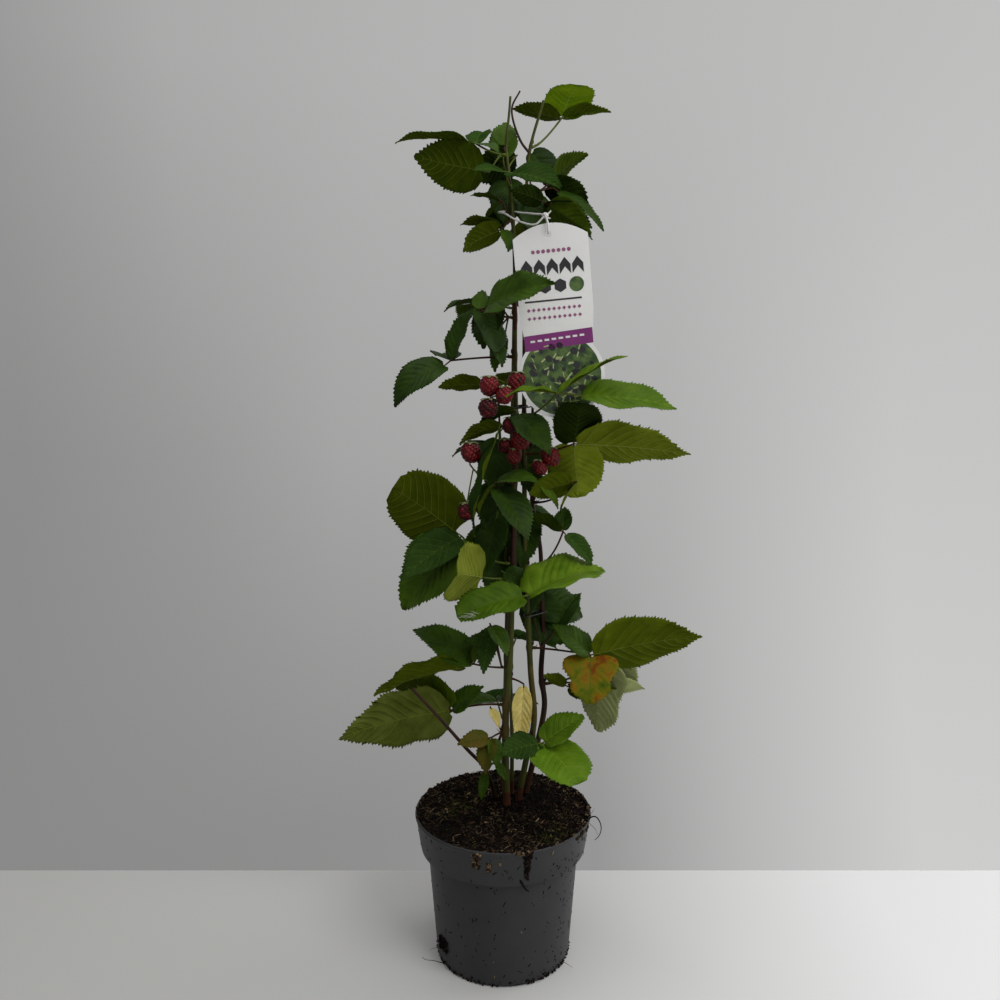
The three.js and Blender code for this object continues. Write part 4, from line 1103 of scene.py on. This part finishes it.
def berry(centre, size, dark, random):
    centre = np.asarray(centre, float)
    turn = random.uniform(0, FULL_TURN)
    lean = random.uniform(-BERRY["tilt"], BERRY["tilt"], 2)
    for k in range(BERRY["drupelets"]):
        z = 1 - 2 * (k + 0.5) / BERRY["drupelets"]
        if z > BERRY["bare"]:
            continue
        ring = math.sqrt(1 - z * z)
        angle = GOLDEN_ANGLE * k + turn
        place = np.array([*polar(ring, angle), z * BERRY["tall"]])
        place[0] += lean[0] * place[2]
        place[1] += lean[1] * place[2]
        bulge = size * random.uniform(*BERRY["bulge"])
        FRUIT_HEAP.add(centre + place * size * BERRY["inset"] + BALL_POINTS * bulge, BALL_FACES,
                       1 if random.uniform() < dark else 0)
    # The core shows only between the drupelets; its dark colour is painted shade for those gaps
    wide, tall = BERRY["core"]
    FRUIT_HEAP.add(centre + BALL_POINTS * (size * wide, size * wide, size * tall), BALL_FACES, 1)
    top = centre + np.array([lean[0], lean[1], 1.0]) * size * tall
    for k in range(BERRY["sepals"]):
        out = toward(turn + 2 * math.pi * k / BERRY["sepals"])
        side = np.array([-out[1], out[0], 0])
        line, wide, curve = SEPAL.T * size
        spine = top + np.outer(line, out) + np.outer(curve, (0, 0, 1))
        left, right = spine - np.outer(wide, side), spine + np.outer(wide, side)
        rows = np.stack([left, spine + (0, 0, 0.3), right], 1).reshape(-1, 3)
        below = rows - (0, 0, 0.45)
        grid = quads(4, 3)
        FRUIT_HEAP.add(np.concatenate([rows, below]),
                       np.concatenate([grid, grid[:, ::-1] + 12, rim_faces(4, 3)]), 2)
    for k in range(BERRY["stamens"]):
        out = toward(turn + 2 * math.pi * k / BERRY["stamens"])
        start = top + out * size * 0.22
        tube(FRUIT_HEAP, [start, start + out * size * 0.22 + (0, 0, -0.2),
                          start + out * size * 0.36 + (0, 0, -0.12 * size)],
             [0.16, 0.14, 0.1], 4, 3)
    return top


for number, (name, cane, height, end, berries) in enumerate(FRUIT):
    random = np.random.RandomState(700 + number)
    centre, radius = cane_point(cane, height)
    end = np.array(end, float)
    out = unit((end - centre) * (1, 1, 0))
    start = centre + out * radius * 0.6
    reach = float(np.linalg.norm(end - start))
    line = bezier(start, start + out * reach * STALK["bow"], end, 40)
    tube(FRUIT_HEAP, line, np.linspace(1.3, 0.9, 40), 8, 4)
    for k, (x, y, z, size) in enumerate(berries):
        dark = DARK_SHARE.get((name, k), USUAL_DARK_SHARE)
        top = berry((x, y, z), size, dark, random)
        origin = line[-1 - 4 * k]
        middle = (origin + top) / 2 + (0, 0, 2.5)
        tube(FRUIT_HEAP, bezier(origin, middle, top + (0, 0, 1), 8), 0.75, 7, 4)
FRUIT_HEAP.build("fruit", looks("berry_red", "berry_dark", "calyx", "stamen", "stalk_green"),
                 "fruit_flesh", [row[0] for row in FRUIT])
STALKS.build("leaf_stalks", looks("stalk_green", "stalk_red", "husk"), "foliage")

# Pot
def lathe(heap, profile, sides):
    profile = np.array(profile, float)
    turns = 2 * math.pi * np.arange(sides) / sides
    across, level = profile[:, 0], profile[:, 1]
    points = np.stack([np.outer(across, np.cos(turns)), np.outer(across, np.sin(turns)),
                       np.repeat(level[:, None], sides, 1)], -1)
    heap.add(points.reshape(-1, 3), quads(len(profile), sides, True)[:, ::-1])


pot = Heap()
rim, band, foot, neck, base = (POT[key] for key in ("rim", "band", "foot", "neck", "base"))
height, wall = POT["height"], POT["wall"]
slope = (rim - band) / (height - foot)
lathe(pot, [
    (0.01, 0), (base - 6, 0), (base - 2.2, 0.1), (base - 0.8, 0.7), (base, 2.4),
    (base + 0.6, 9), (base + (neck - base) * 0.5, foot * 0.5), (neck - 0.3, foot - 4),
    (neck, foot - 1), (neck + 0.4, foot - 0.1), (band - 1.0, foot - 0.1), (band - 0.2, foot + 0.3),
    (band, foot + 1.2), (band + slope * 8, foot + 8), (rim - 1.1, height - 5.2),
    (rim - 0.5, height - 3.8), (rim, height - 3.2), (rim + 0.1, height - 1.6),
    (rim - 0.2, height - 0.4), (rim - 0.7, height), (rim - 1.4, height),
    (rim - wall + 0.1, height - 0.5), (rim - wall, height - 3), (band - wall, foot + 2),
    (neck - wall, foot + 1.9), (base - wall, POT["floor"]), (0.01, POT["floor"]),
], 160)
pot.build("pot_body", looks("pot_plastic"), "pot_plastic", ["pot"], sharp=40)

# Soil
soil = Heap()


def soil_height(x, y):
    radius = math.hypot(x, y)
    share = min(1.0, radius / (rim - wall))
    place = Vector((x * 0.045, y * 0.045, 3.1))
    lumps = SOIL["lumps"] * noise.fractal(place, 1.0, 2.0, 3)
    lumps += SOIL["grains"] * noise.noise(Vector((x * 0.22, y * 0.22, 8.0)))
    heap_up = SOIL["back_heap"] * max(0.0, y / rim) * share
    off = math.degrees(math.atan2(y, x)) - SOIL["spill_heading"]
    spill = SOIL["spill"] * math.exp(-(off / SOIL["spill_width"]) ** 2) * share ** 3
    dip = SOIL["dip"] * max(0.0, -y / rim - 0.2) * (1 - share)
    level = SOIL["centre"] - SOIL["sunk"] - SOIL["edge_fall"] * share ** 2
    return level + lumps + heap_up + spill - dip


rings, sides = 46, 180
grid = []
for i in range(rings):
    for k in range(sides):
        radius = (rim - wall - 0.6) * (i + 0.02) / (rings - 1)
        x, y = polar(radius, 2 * math.pi * k / sides)
        grid.append((x, y, soil_height(x, y)))
soil.add(grid, quads(rings, sides, True))
soil.build("soil_bed", looks("soil_dark"), "soil_peat", ["soil"])

CRUMBS = Heap()
random = np.random.RandomState(51)
# How many of each lie on the soil, at the rim, on the pot's side, at its foot and by its roots
COUNTS = {
    "crumbs": 2600, "chips": 210, "fibres": 4600, "rim": 260, "flakes": 820, "foot": 520,
    "root": 60,
}
CUBE = np.array([(x, y, z) for x in (-1, 1) for y in (-1, 1) for z in (-1, 1)], float)
CUBE_FACES = np.array([(0, 1, 3, 2), (4, 6, 7, 5), (0, 4, 5, 1), (2, 3, 7, 6), (0, 2, 6, 4),
                       (1, 5, 7, 3)])


def any_turn(random, level=1.0):
    turned = Matrix.Rotation(random.uniform(0, FULL_TURN), 3, "Z") @ Matrix.Rotation(
        random.uniform(-1, 1) * level * 1.5, 3, "X") @ Matrix.Rotation(
        random.uniform(-1, 1) * level * 1.5, 3, "Y")
    return np.array(turned)


def crumb(place, size, mark, random, level=1.0):
    shape = CUBE * size * random.uniform(0.65, 1.25, (8, 3))
    CRUMBS.add(np.asarray(place) + shape @ any_turn(random, level).T, CUBE_FACES, mark)


def fibre(place, length, width, mark, random, rise=0.25):
    heading = random.uniform(0, FULL_TURN)
    ahead = toward(heading, random.uniform(-0.1, rise))
    side = sideways_of(heading)
    bend = random.uniform(-0.35, 0.35)
    line = [np.asarray(place) + ahead * length * u + side * bend * length * u * (1 - u)
            + (0, 0, 0.12 * length * u * (1 - u)) for u in (-0.5, -0.15, 0.2, 0.5)]
    tube(CRUMBS, line, [width * 0.6, width, width, width * 0.5], 3, mark, 0.7, ends=False)


def on_soil(random):
    radius = (rim - wall - 0.5) * math.sqrt(random.uniform())
    x, y = polar(radius, random.uniform(0, FULL_TURN))
    return x, y, soil_height(x, y)


# Patches of moss at the left and at the front right, and shade behind the stems and at the
# front left, where few light fibres show: centre and half size
MOSSY = [((-52, 2), (22, 30)), ((48, -58), (20, 20))]
SHADY = [((38, 22), (30, 30)), ((-62, -44), (24, 18))]


def patch(x, y, centre, size):
    return math.exp(-((x - centre[0]) / size[0]) ** 2 - ((y - centre[1]) / size[1]) ** 2)


def mossy(x, y):
    green = max(patch(x, y, *row) for row in MOSSY)
    return green + 0.35 * noise.noise(Vector((x * 0.06, y * 0.06, 0.0)))


def shady(x, y):
    dark = patch(x, y, *SHADY[0]) + 0.8 * patch(x, y, *SHADY[1])
    return dark + 0.9 * max(0.0, noise.noise(Vector((x * 0.05, y * 0.07, 5.0))))


for _ in range(COUNTS["crumbs"]):
    x, y, z = on_soil(random)
    size = random.uniform(0.3, 1.0) ** 2 * 1.5 + 0.25
    roll = random.uniform()
    mark = 1 if roll < 0.22 else 0
    if mossy(x, y) > 0.5 and roll > 0.8:
        mark = 3
    crumb((x, y, z + 0.2 * size), (size * random.uniform(0.6, 2.0), size * 0.8, size * 0.6), mark,
          random)
for _ in range(COUNTS["chips"]):
    x, y, z = on_soil(random)
    if shady(x, y) > 0.4:
        continue
    mark = 2 if random.uniform() < 0.4 else 1
    long = random.uniform(1.4, 4.6)
    crumb((x, y, z + 0.8), (long, long * random.uniform(0.16, 0.34), 0.35), mark, random, 0.3)
for _ in range(COUNTS["fibres"]):
    x, y, z = on_soil(random)
    roll = random.uniform() + 0.6 * shady(x, y)
    mark = 2 if roll < 0.30 else 1 if roll < 0.58 else 0
    if random.uniform() < 0.8 * mossy(x, y):
        mark = 3
    fibre((x, y, z + random.uniform(0.5, 1.8)), random.uniform(2.5, 10) * random.uniform(0.5, 1),
          random.uniform(0.14, 0.36), mark, random)
for _ in range(COUNTS["rim"]):
    turn = random.uniform(-0.2, 3.4)
    if random.uniform() < 0.25:
        turn = random.uniform(-1.7, -0.3)
    x, y = polar(rim - random.uniform(1.2, 4.2), turn)
    size = random.uniform(0.4, 1.5)
    crumb((x, y, height + 0.15 * size), (size * 1.3, size, size * 0.7),
          random.choice([0, 0, 0, 1, 1, 2]), random)
    fibre((x, y, height + 0.9), random.uniform(2, 6), random.uniform(0.12, 0.26),
          random.choice([0, 0, 1]), random, 0.5)


# Soil that clings to the outside of the pot, by heading and height
def pot_radius(z):
    if z > foot:
        return band + slope * (z - foot)
    return base + (neck - base) * z / foot


def cling(heading, z, size, mark, random, spread=0.0):
    turn = math.radians(heading + random.uniform(-1, 1) * spread)
    z = max(z + random.uniform(-1, 1) * spread, 1.9 * size)
    radius = pot_radius(z) + 0.2 * size
    crumb((*polar(radius, turn), z), (size, size, size * 0.8), mark, random)


def fleck(heading, z, long, wide, mark, random):
    """A thin flake that lies flat on the pot's side."""
    turn = math.radians(heading)
    out, level = toward(turn, 0.05), sideways_of(turn)
    angle = random.uniform(0, 3.14)
    ahead = level * math.cos(angle) + np.array([0, 0, 1]) * math.sin(angle)
    across = level * math.sin(angle) - np.array([0, 0, 1]) * math.cos(angle)
    shape = CUBE * random.uniform(0.6, 1.1, (8, 3)) * (long / 2, wide / 2, 0.12)
    place = out * (pot_radius(z) + 0.1) * (1, 1, 0) + (0, 0, z)
    CRUMBS.add(place + shape @ np.array([ahead, across, out]), CUBE_FACES, mark)


# Clumps on the band: heading, upper and lower height, spread in degrees, count and colours
CLUMPS = [(-107, 158, 140, 3.6, 60, (1, 1, 2)), (-99, 148, 138, 1.6, 26, (1, 1, 2)),
          (-75, 161, 146, 3.4, 70, (0, 0, 1)), (-75, 150, 128, 2.0, 80, (0, 0, 0, 1)),
          (-78, 161, 157, 6.0, 34, (1, 2, 2)), (-20, 158, 150, 3.0, 26, (0, 1)),
          (-32, 159, 154, 9.0, 40, (0, 1, 3)), (-92, 150, 146, 0.6, 3, (2,))]
for heading, upper, lower, spread, count, marks in CLUMPS:
    for _ in range(count):
        z = random.uniform(lower, upper)
        narrow = spread * (0.45 + 0.55 * (z - lower) / (upper - lower))
        cling(heading + random.uniform(-1, 1) * narrow, z, random.uniform(0.4, 1.2),
              marks[random.randint(len(marks))], random)
        if random.uniform() < 0.5:
            fleck(heading + random.uniform(-1, 1) * narrow, z, random.uniform(2, 5),
                  random.uniform(0.3, 0.6), marks[random.randint(len(marks))], random)
for _ in range(COUNTS["flakes"]):
    heading = random.uniform(-190, 170)
    if random.uniform() > 0.4 + 0.6 * math.exp(-((heading + 38) / 26) ** 2):
        continue
    z = random.uniform(2, 156)
    long = random.uniform(0.8, 2.6) if random.uniform() < 0.7 else random.uniform(2.4, 6.5)
    fleck(heading, z, long, random.uniform(0.6, 1.5), 2 if random.uniform() < 0.03 else 0, random)
for _ in range(COUNTS["foot"]):
    heading = random.uniform(-190, 170)
    if random.uniform() > 0.4 + 0.6 * math.exp(-((abs(heading + 90) - 45) / 22) ** 2):
        continue
    cling(heading, random.uniform(0.4, 1) * random.uniform(0.6, 8), random.uniform(0.2, 0.9),
          random.choice([0, 0, 0, 1]), random)
tube(CRUMBS, [(16.6, -88.6, 128.5), (18.5, -88.2, 124.5), (21.5, -84.5, 117),
              (25.5, -80.0, 111)], [0.8, 1.1, 1.0, 0.6], 6, 0)
for heading, z, long, wide in ((-58, 152, 4.0, 1.0), (-76, 63, 3.4, 1.3), (-97, 12, 3.0, 0.8)):
    fleck(heading, z, long, wide, 2, random)

# Fine roots at the rim and at the base
ROOTS = [
    ([(90, -24, 158), (93.7, -26, 163), (98.5, -26, 163), (103, -26, 156), (104, -26, 148),
      (101, -27, 141), (97, -28, 138)], 0.85),
    ([(92, -16, 159), (94, -20, 164), (97, -23, 171)], 0.3),
    ([(91, -28, 157), (97, -31, 152), (100, -33, 146)], 0.28),
    ([(-60, -42, 6), (-66, -45, 9), (-74, -46, 12), (-82, -46, 13), (-86, -46, 16)], 0.5),
    ([(-64, -38, 22), (-72, -42, 24), (-77, -44, 23)], 0.3),
    ([(60, -38, 6), (68, -40, 4), (74, -44, 2.2)], 0.3),
]
for path, size in ROOTS:
    points, lengths = centripetal(path)
    tube(CRUMBS, spaced(points, lengths, 16), np.linspace(size, size * 0.4, 16), 5, 0)
for _ in range(COUNTS["root"]):
    angle = math.radians(random.uniform(206, 218))
    place = (*polar(75.5, angle), random.uniform(20, 34))
    crumb(place, random.uniform(0.5, 1.4, 3), 0, random)
CRUMBS.build("soil_crumbs", looks("crumb_dark", "crumb_brown", "crumb_tan", "moss"), "soil_peat",
             smooth=False)

# Card
lean, tilt = math.radians(TAG["lean"]), math.radians(TAG["tilt"])
CARD_PLACE = (Matrix.Translation(Vector(TAG["origin"]) * MM) @ Matrix.Rotation(tilt, 4, "X")
              @ Matrix.Rotation(lean, 4, "Y"))


def flat_shape(name, outlines, front, depth, look, bevel=0.0):
    """A flat plate of outlines, its front face that far in front of the card's back."""
    curve = bpy.data.curves.new(name, "CURVE")
    curve.dimensions, curve.fill_mode = "2D", "BOTH"
    curve.extrude = depth / 2 * MM - bevel * MM
    curve.bevel_depth = bevel * MM
    curve.bevel_resolution = 2
    curve.offset = -bevel * MM
    for outline in outlines:
        spline = curve.splines.new("POLY")
        spline.points.add(len(outline) - 1)
        for point, (x, z) in zip(spline.points, outline):
            point.co = (x * MM, z * MM, 0, 1)
        spline.use_cyclic_u = True
    holder = show(name + "_curve", curve)
    shape = bpy.data.meshes.new_from_object(holder.evaluated_get(
        bpy.context.evaluated_depsgraph_get()))
    bpy.data.objects.remove(holder)
    upright = Matrix.Translation((0, (depth / 2 - front) * MM, 0)) @ Matrix.Rotation(
        math.radians(90), 4, "X")
    shape.transform(CARD_PLACE @ upright)
    shape.name = name
    shape.materials.clear()
    shape.materials.append(LOOK[look])
    return set_out(name, shape)


def disc(x, z, radius, count=24, lumps=0.0, turn=0.0):
    points = []
    for k in range(count):
        angle = turn + 2 * math.pi * k / count
        across, up = polar(radius * (1 + lumps * math.sin(5 * angle)), angle)
        points.append((x + across, z + up))
    return points


def bar(x, z, wide, high, skew=0.0):
    return [(x, z), (x + wide, z + skew), (x + wide, z + skew - high), (x, z - high)]


half = TAG["width"] / 2
fall = -TAG["hump"] * TAG["hump_fall"]
bow = TAG["hump_bow"]
outline = [(-half, -TAG["shoulder"])]
for start, control, end in (((-half, fall), (-half * bow, 0), (0, 0)),
                            ((0, 0), (half * bow, 0), (half, fall))):
    for k in range(13):
        u = k / 12
        outline.append(tuple((1 - u) ** 2 * a + 2 * u * (1 - u) * b + u * u * c
                             for a, b, c in zip(start, control, end)))
disc_top = TAG["disc_drop"] - math.sqrt(TAG["disc_radius"] ** 2 - TAG["waist"] ** 2)
outline.append((half, -TAG["shoulder"]))
begin = math.atan2(TAG["disc_drop"] - disc_top, TAG["waist"])
for k in range(49):
    angle = begin - (2 * begin + math.pi) * k / 48
    outline.append((TAG["disc_radius"] * math.cos(angle),
                    -TAG["disc_drop"] + TAG["disc_radius"] * math.sin(angle)))
outline = [p for i, p in enumerate(outline) if i == 0 or math.dist(p, outline[i - 1]) > 0.01]
hole = disc(TAG["hole_offset"], -TAG["hole_drop"], TAG["hole_radius"], 32)
PLATE = {"thickness": 0.9, "bevel": 0.12}
plate = flat_shape("card_plate", [outline, hole], TAG["thickness"], PLATE["thickness"],
                   "card_white", PLATE["bevel"])
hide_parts("card")
# Thickness of the ink, how far each layer stands out and where the first one lies
INK, LAYER = 0.06, 0.05
FRONT = TAG["thickness"] + INK
# The round green patch, and how far its dots and strokes reach on it
PATCH = {
    "radius": 39.5, "dots": 40, "reach": 35, "top": -116, "apart": 7.0, "size": (2.2, 4.4),
    "stroke": 5, "stroke_reach": 37, "stroke_top": -114,
}
PRINT = [
    ("print_green_patch", "card_green", [disc(0, -TAG["disc_drop"], PATCH["radius"], 64)]),
    ("print_purple_band", "card_purple", [bar(-34, -105.5, 68, 15, 3)]),
    ("print_black_marks", "card_black",
     [[(x, -40), (x + 5.5, -33), (x + 11, -40), (x + 11, -49), (x + 5.5, -42), (x, -49)]
      for x in (-31, -18.5, -6, 6.5, 19)]
     + [disc(x, -59.5, 6.6, 6, 0, math.pi / 6) for x in (-24, -9, 6)] + [bar(-30, -72, 56, 1.7)]),
    ("print_lilac_marks", "card_lilac",
     [disc(x, -26, 1.9, 10) for x in range(-18, 19, 5)]
     + [disc(x, -81, 1.9, 4) for x in range(-27, 26, 5)]
     + [disc(x, -89, 1.9, 4) for x in range(-27, 26, 5)]),
    ("print_green_dot", "card_green", [disc(22, -59.5, 7.2, 32)]),
    ("print_white_marks", "card_white",
     [bar(x, -110.5 + (x + 34) * 0.045, 4.5, 2) for x in range(-28, 26, 7)]),
]
for layer, (name, look, outlines) in enumerate(PRINT):
    flat_shape(name, outlines, FRONT + LAYER * layer, INK, look)
random = np.random.RandomState(33)
dots, strokes, placed = [], [], []
while len(placed) < PATCH["dots"]:
    radius = PATCH["reach"] * math.sqrt(random.uniform())
    x, z = polar(radius, random.uniform(0, FULL_TURN))
    z -= TAG["disc_drop"]
    if z > PATCH["top"] or any(math.hypot(x - a, z - b) < PATCH["apart"] for a, b in placed):
        continue
    placed.append((x, z))
    big = random.uniform(*PATCH["size"])
    dots.append(disc(x, z, big, 7, 0.12))
    for _ in range(2):
        angle = random.uniform(0, FULL_TURN)
        across, up = polar(big + 0.5, angle)
        ahead, rise = polar(PATCH["stroke"], angle + 0.8)
        a, b = x + across, z + up
        c, d = a + ahead, b + rise
        inside = math.hypot(c, d + TAG["disc_drop"]) < PATCH["stroke_reach"]
        if inside and d < PATCH["stroke_top"]:
            strokes.append([(a, b), (c, d), (c + 1.0, d - 1.0), (a + 1.0, b - 1.0)])
flat_shape("print_dark_dots", dots, FRONT + LAYER, INK, "card_black")
flat_shape("print_pale_strokes", strokes, FRONT + 0.09, INK, "card_pale")

# The white loop, its knot and its two short ends
LOOP_HEAP = Heap()
points, lengths = centripetal(LOOP["path"], True)
line = spaced(points, lengths, 110)
tube(LOOP_HEAP, line, LOOP["radius"], 10, 0, ends=False)
knot = np.array(LOOP["knot"])
for k, tip in enumerate(((0.7, 0.2, 1.0), (0.1, 1.0, 0.4), (1.0, -0.4, 0.2))):
    axis = unit(tip)
    side = unit(np.cross(axis, (0.3, 0.2, 1)))
    other = np.cross(axis, side)
    turns = np.linspace(0, 2 * math.pi, 22)
    ring = knot + np.outer(np.cos(turns) * 2.3, side) + np.outer(np.sin(turns) * 2.0, other)
    tube(LOOP_HEAP, ring + np.outer(np.sin(2 * turns) * 0.6, axis), 0.95, 8, 0, ends=False)
tube(LOOP_HEAP, [knot, knot + (3, 0, 2), knot + (5.5, -1, 4.5)], [0.8, 0.8, 0.6], 7, 0)
tube(LOOP_HEAP, [knot, knot + (2.5, 1, -2), knot + (5, 1, -2.5)], [0.8, 0.8, 0.6], 7, 0)
LOOP_HEAP.build("card_cord", looks("loop_white"), "loop_plastic", ["card_loop"])

# Black plant ties round the bundle of canes
TIES = Heap()
TIED = [(594, ("cane_front", "cane_second")), (372, ("cane_second", "cane_dark"))]
for height, names in TIED:
    around = []
    spots = [cane_point(name, height) for name in names]
    for k in range(48):
        out = toward(2 * math.pi * k / 48)
        around.append(max((spot + out * (radius + 0.9) for spot, radius in spots),
                          key=lambda p: float(p @ out)))
    around = np.array(around + around[:1])
    around[:, 2] = height + 1.2 * np.sin(np.linspace(0, 2 * math.pi, 49))
    around = np.stack([np.convolve(np.r_[around[-4:-1, k], around[:, k], around[1:4, k]],
                                   np.ones(7) / 7, "valid") for k in range(3)], -1)
    tube(TIES, around, 0.8, 6, 0, 1.6, ends=False)
TIE_TAIL = [(1, -1, 594.5), (12, -3.4, 593.2), (26, -2.6, 594), (38, -3, 596.5)]
tube(TIES, TIE_TAIL, [1.2, 1.2, 1.2, 0.5], 6, 0, 0.6)
TIES.build("plant_ties", looks("tie_black"), "loop_plastic")

# Floor, light and camera
# The floor's colour darkens from right to left: painted shade, as the light falls from the right
FLOOR = {
    "size": (3.2, 1.9, 1), "place": (0, 0.151 - 0.95, -0.0002),
    "left": (0.32, (0.41, 0.408, 0.396)), "middle": (0.49, (0.47, 0.468, 0.456)),
    "right": (0.64, (0.69, 0.69, 0.69)),
}
bpy.ops.mesh.primitive_plane_add(size=1)
floor = bpy.context.active_object
floor.name = "studio_floor"
floor.scale = FLOOR["size"]
floor.location = FLOOR["place"]
pale, tree, face = shader("floor_pale", 0.55, 0.3)
place = node(tree, "TexCoord")
parts = node(tree, "SeparateXYZ")
link(tree, place.outputs["Generated"], parts.inputs["Vector"])
tone = ramp(tree, parts.outputs["X"], FLOOR["left"], FLOOR["right"], FLOOR["middle"])
link(tree, tone, face.inputs["Base Color"])
floor.data.materials.append(pale)

world = bpy.data.worlds.new("studio")
bpy.context.scene.world = world
world.use_nodes = True
tree = world.node_tree
backdrop = tree.nodes["Background"]
direction = node(tree, "TexCoord")
parts = node(tree, "SeparateXYZ")
sideways = node(tree, "MapRange", From_Min=-0.5, From_Max=0.5)
link(tree, direction.outputs["Generated"], parts.inputs["Vector"])
link(tree, parts.outputs["X"], sideways.inputs["Value"])
# Brightness from left to right, low down, at mid height and high up, and the heights between
# which one goes over into the next
BACKDROP = [
    [(0.03, 0.25), (0.37, 0.27), (0.60, 0.30), (0.74, 0.46), (0.90, 0.61)],
    [(0.03, 0.26), (0.18, 0.31), (0.32, 0.37), (0.68, 0.43), (0.90, 0.56)],
    [(0.03, 0.31), (0.18, 0.40), (0.37, 0.44), (0.63, 0.47), (0.95, 0.52)],
]
BLENDS = [(-0.46, -0.08), (-0.08, 0.31)]
shades = []
for stops in BACKDROP:
    first, *between, last = [(at, (value, value, value * 0.99)) for at, value in stops]
    shades.append(ramp(tree, sideways.outputs["Result"], first, last, *between))
for shade, (start, end) in zip(shades[1:], BLENDS):
    rise = node(tree, "MapRange", From_Min=start, From_Max=end)
    blend = node(tree, "Mix")
    blend.data_type = "RGBA"
    link(tree, parts.outputs["Z"], rise.inputs["Value"])
    link(tree, rise.outputs["Result"], blend.inputs["Factor"])
    link(tree, shades[0], blend.inputs["A"])
    link(tree, shade, blend.inputs["B"])
    shades[0] = blend.outputs["Result"]
link(tree, shades[0], backdrop.inputs["Color"])
backdrop.inputs["Strength"].default_value = 1.0

# Name, place, size and power of each light, and the point that all of them face
AIM = Vector((0, 0, 0.45))
LIGHTS = [
    ("key", (1.2, -1.3, 1.9), 1.2, 26.0),
    ("top", (-0.2, -0.3, 2.3), 1.6, 16.0),
    ("side", (1.6, 0.5, 0.9), 1.0, 9.0),
]
for name, place, size, power in LIGHTS:
    lamp = bpy.data.lights.new(name, "AREA")
    lamp.size, lamp.energy = size, power
    holder = show(name, lamp)
    holder.location = place
    holder.rotation_euler = (AIM - Vector(place)).to_track_quat("-Z", "Y").to_euler()

lens = bpy.data.cameras.new("camera")
lens.lens = CAMERA["lens"]
camera = show("camera", lens)
camera.location = Vector(CAMERA["place"]) * MM
camera.rotation_euler = (math.radians(90 - CAMERA["pitch"]), 0, 0)
bpy.context.scene.camera = camera
bpy.context.scene.view_settings.view_transform = "Standard"
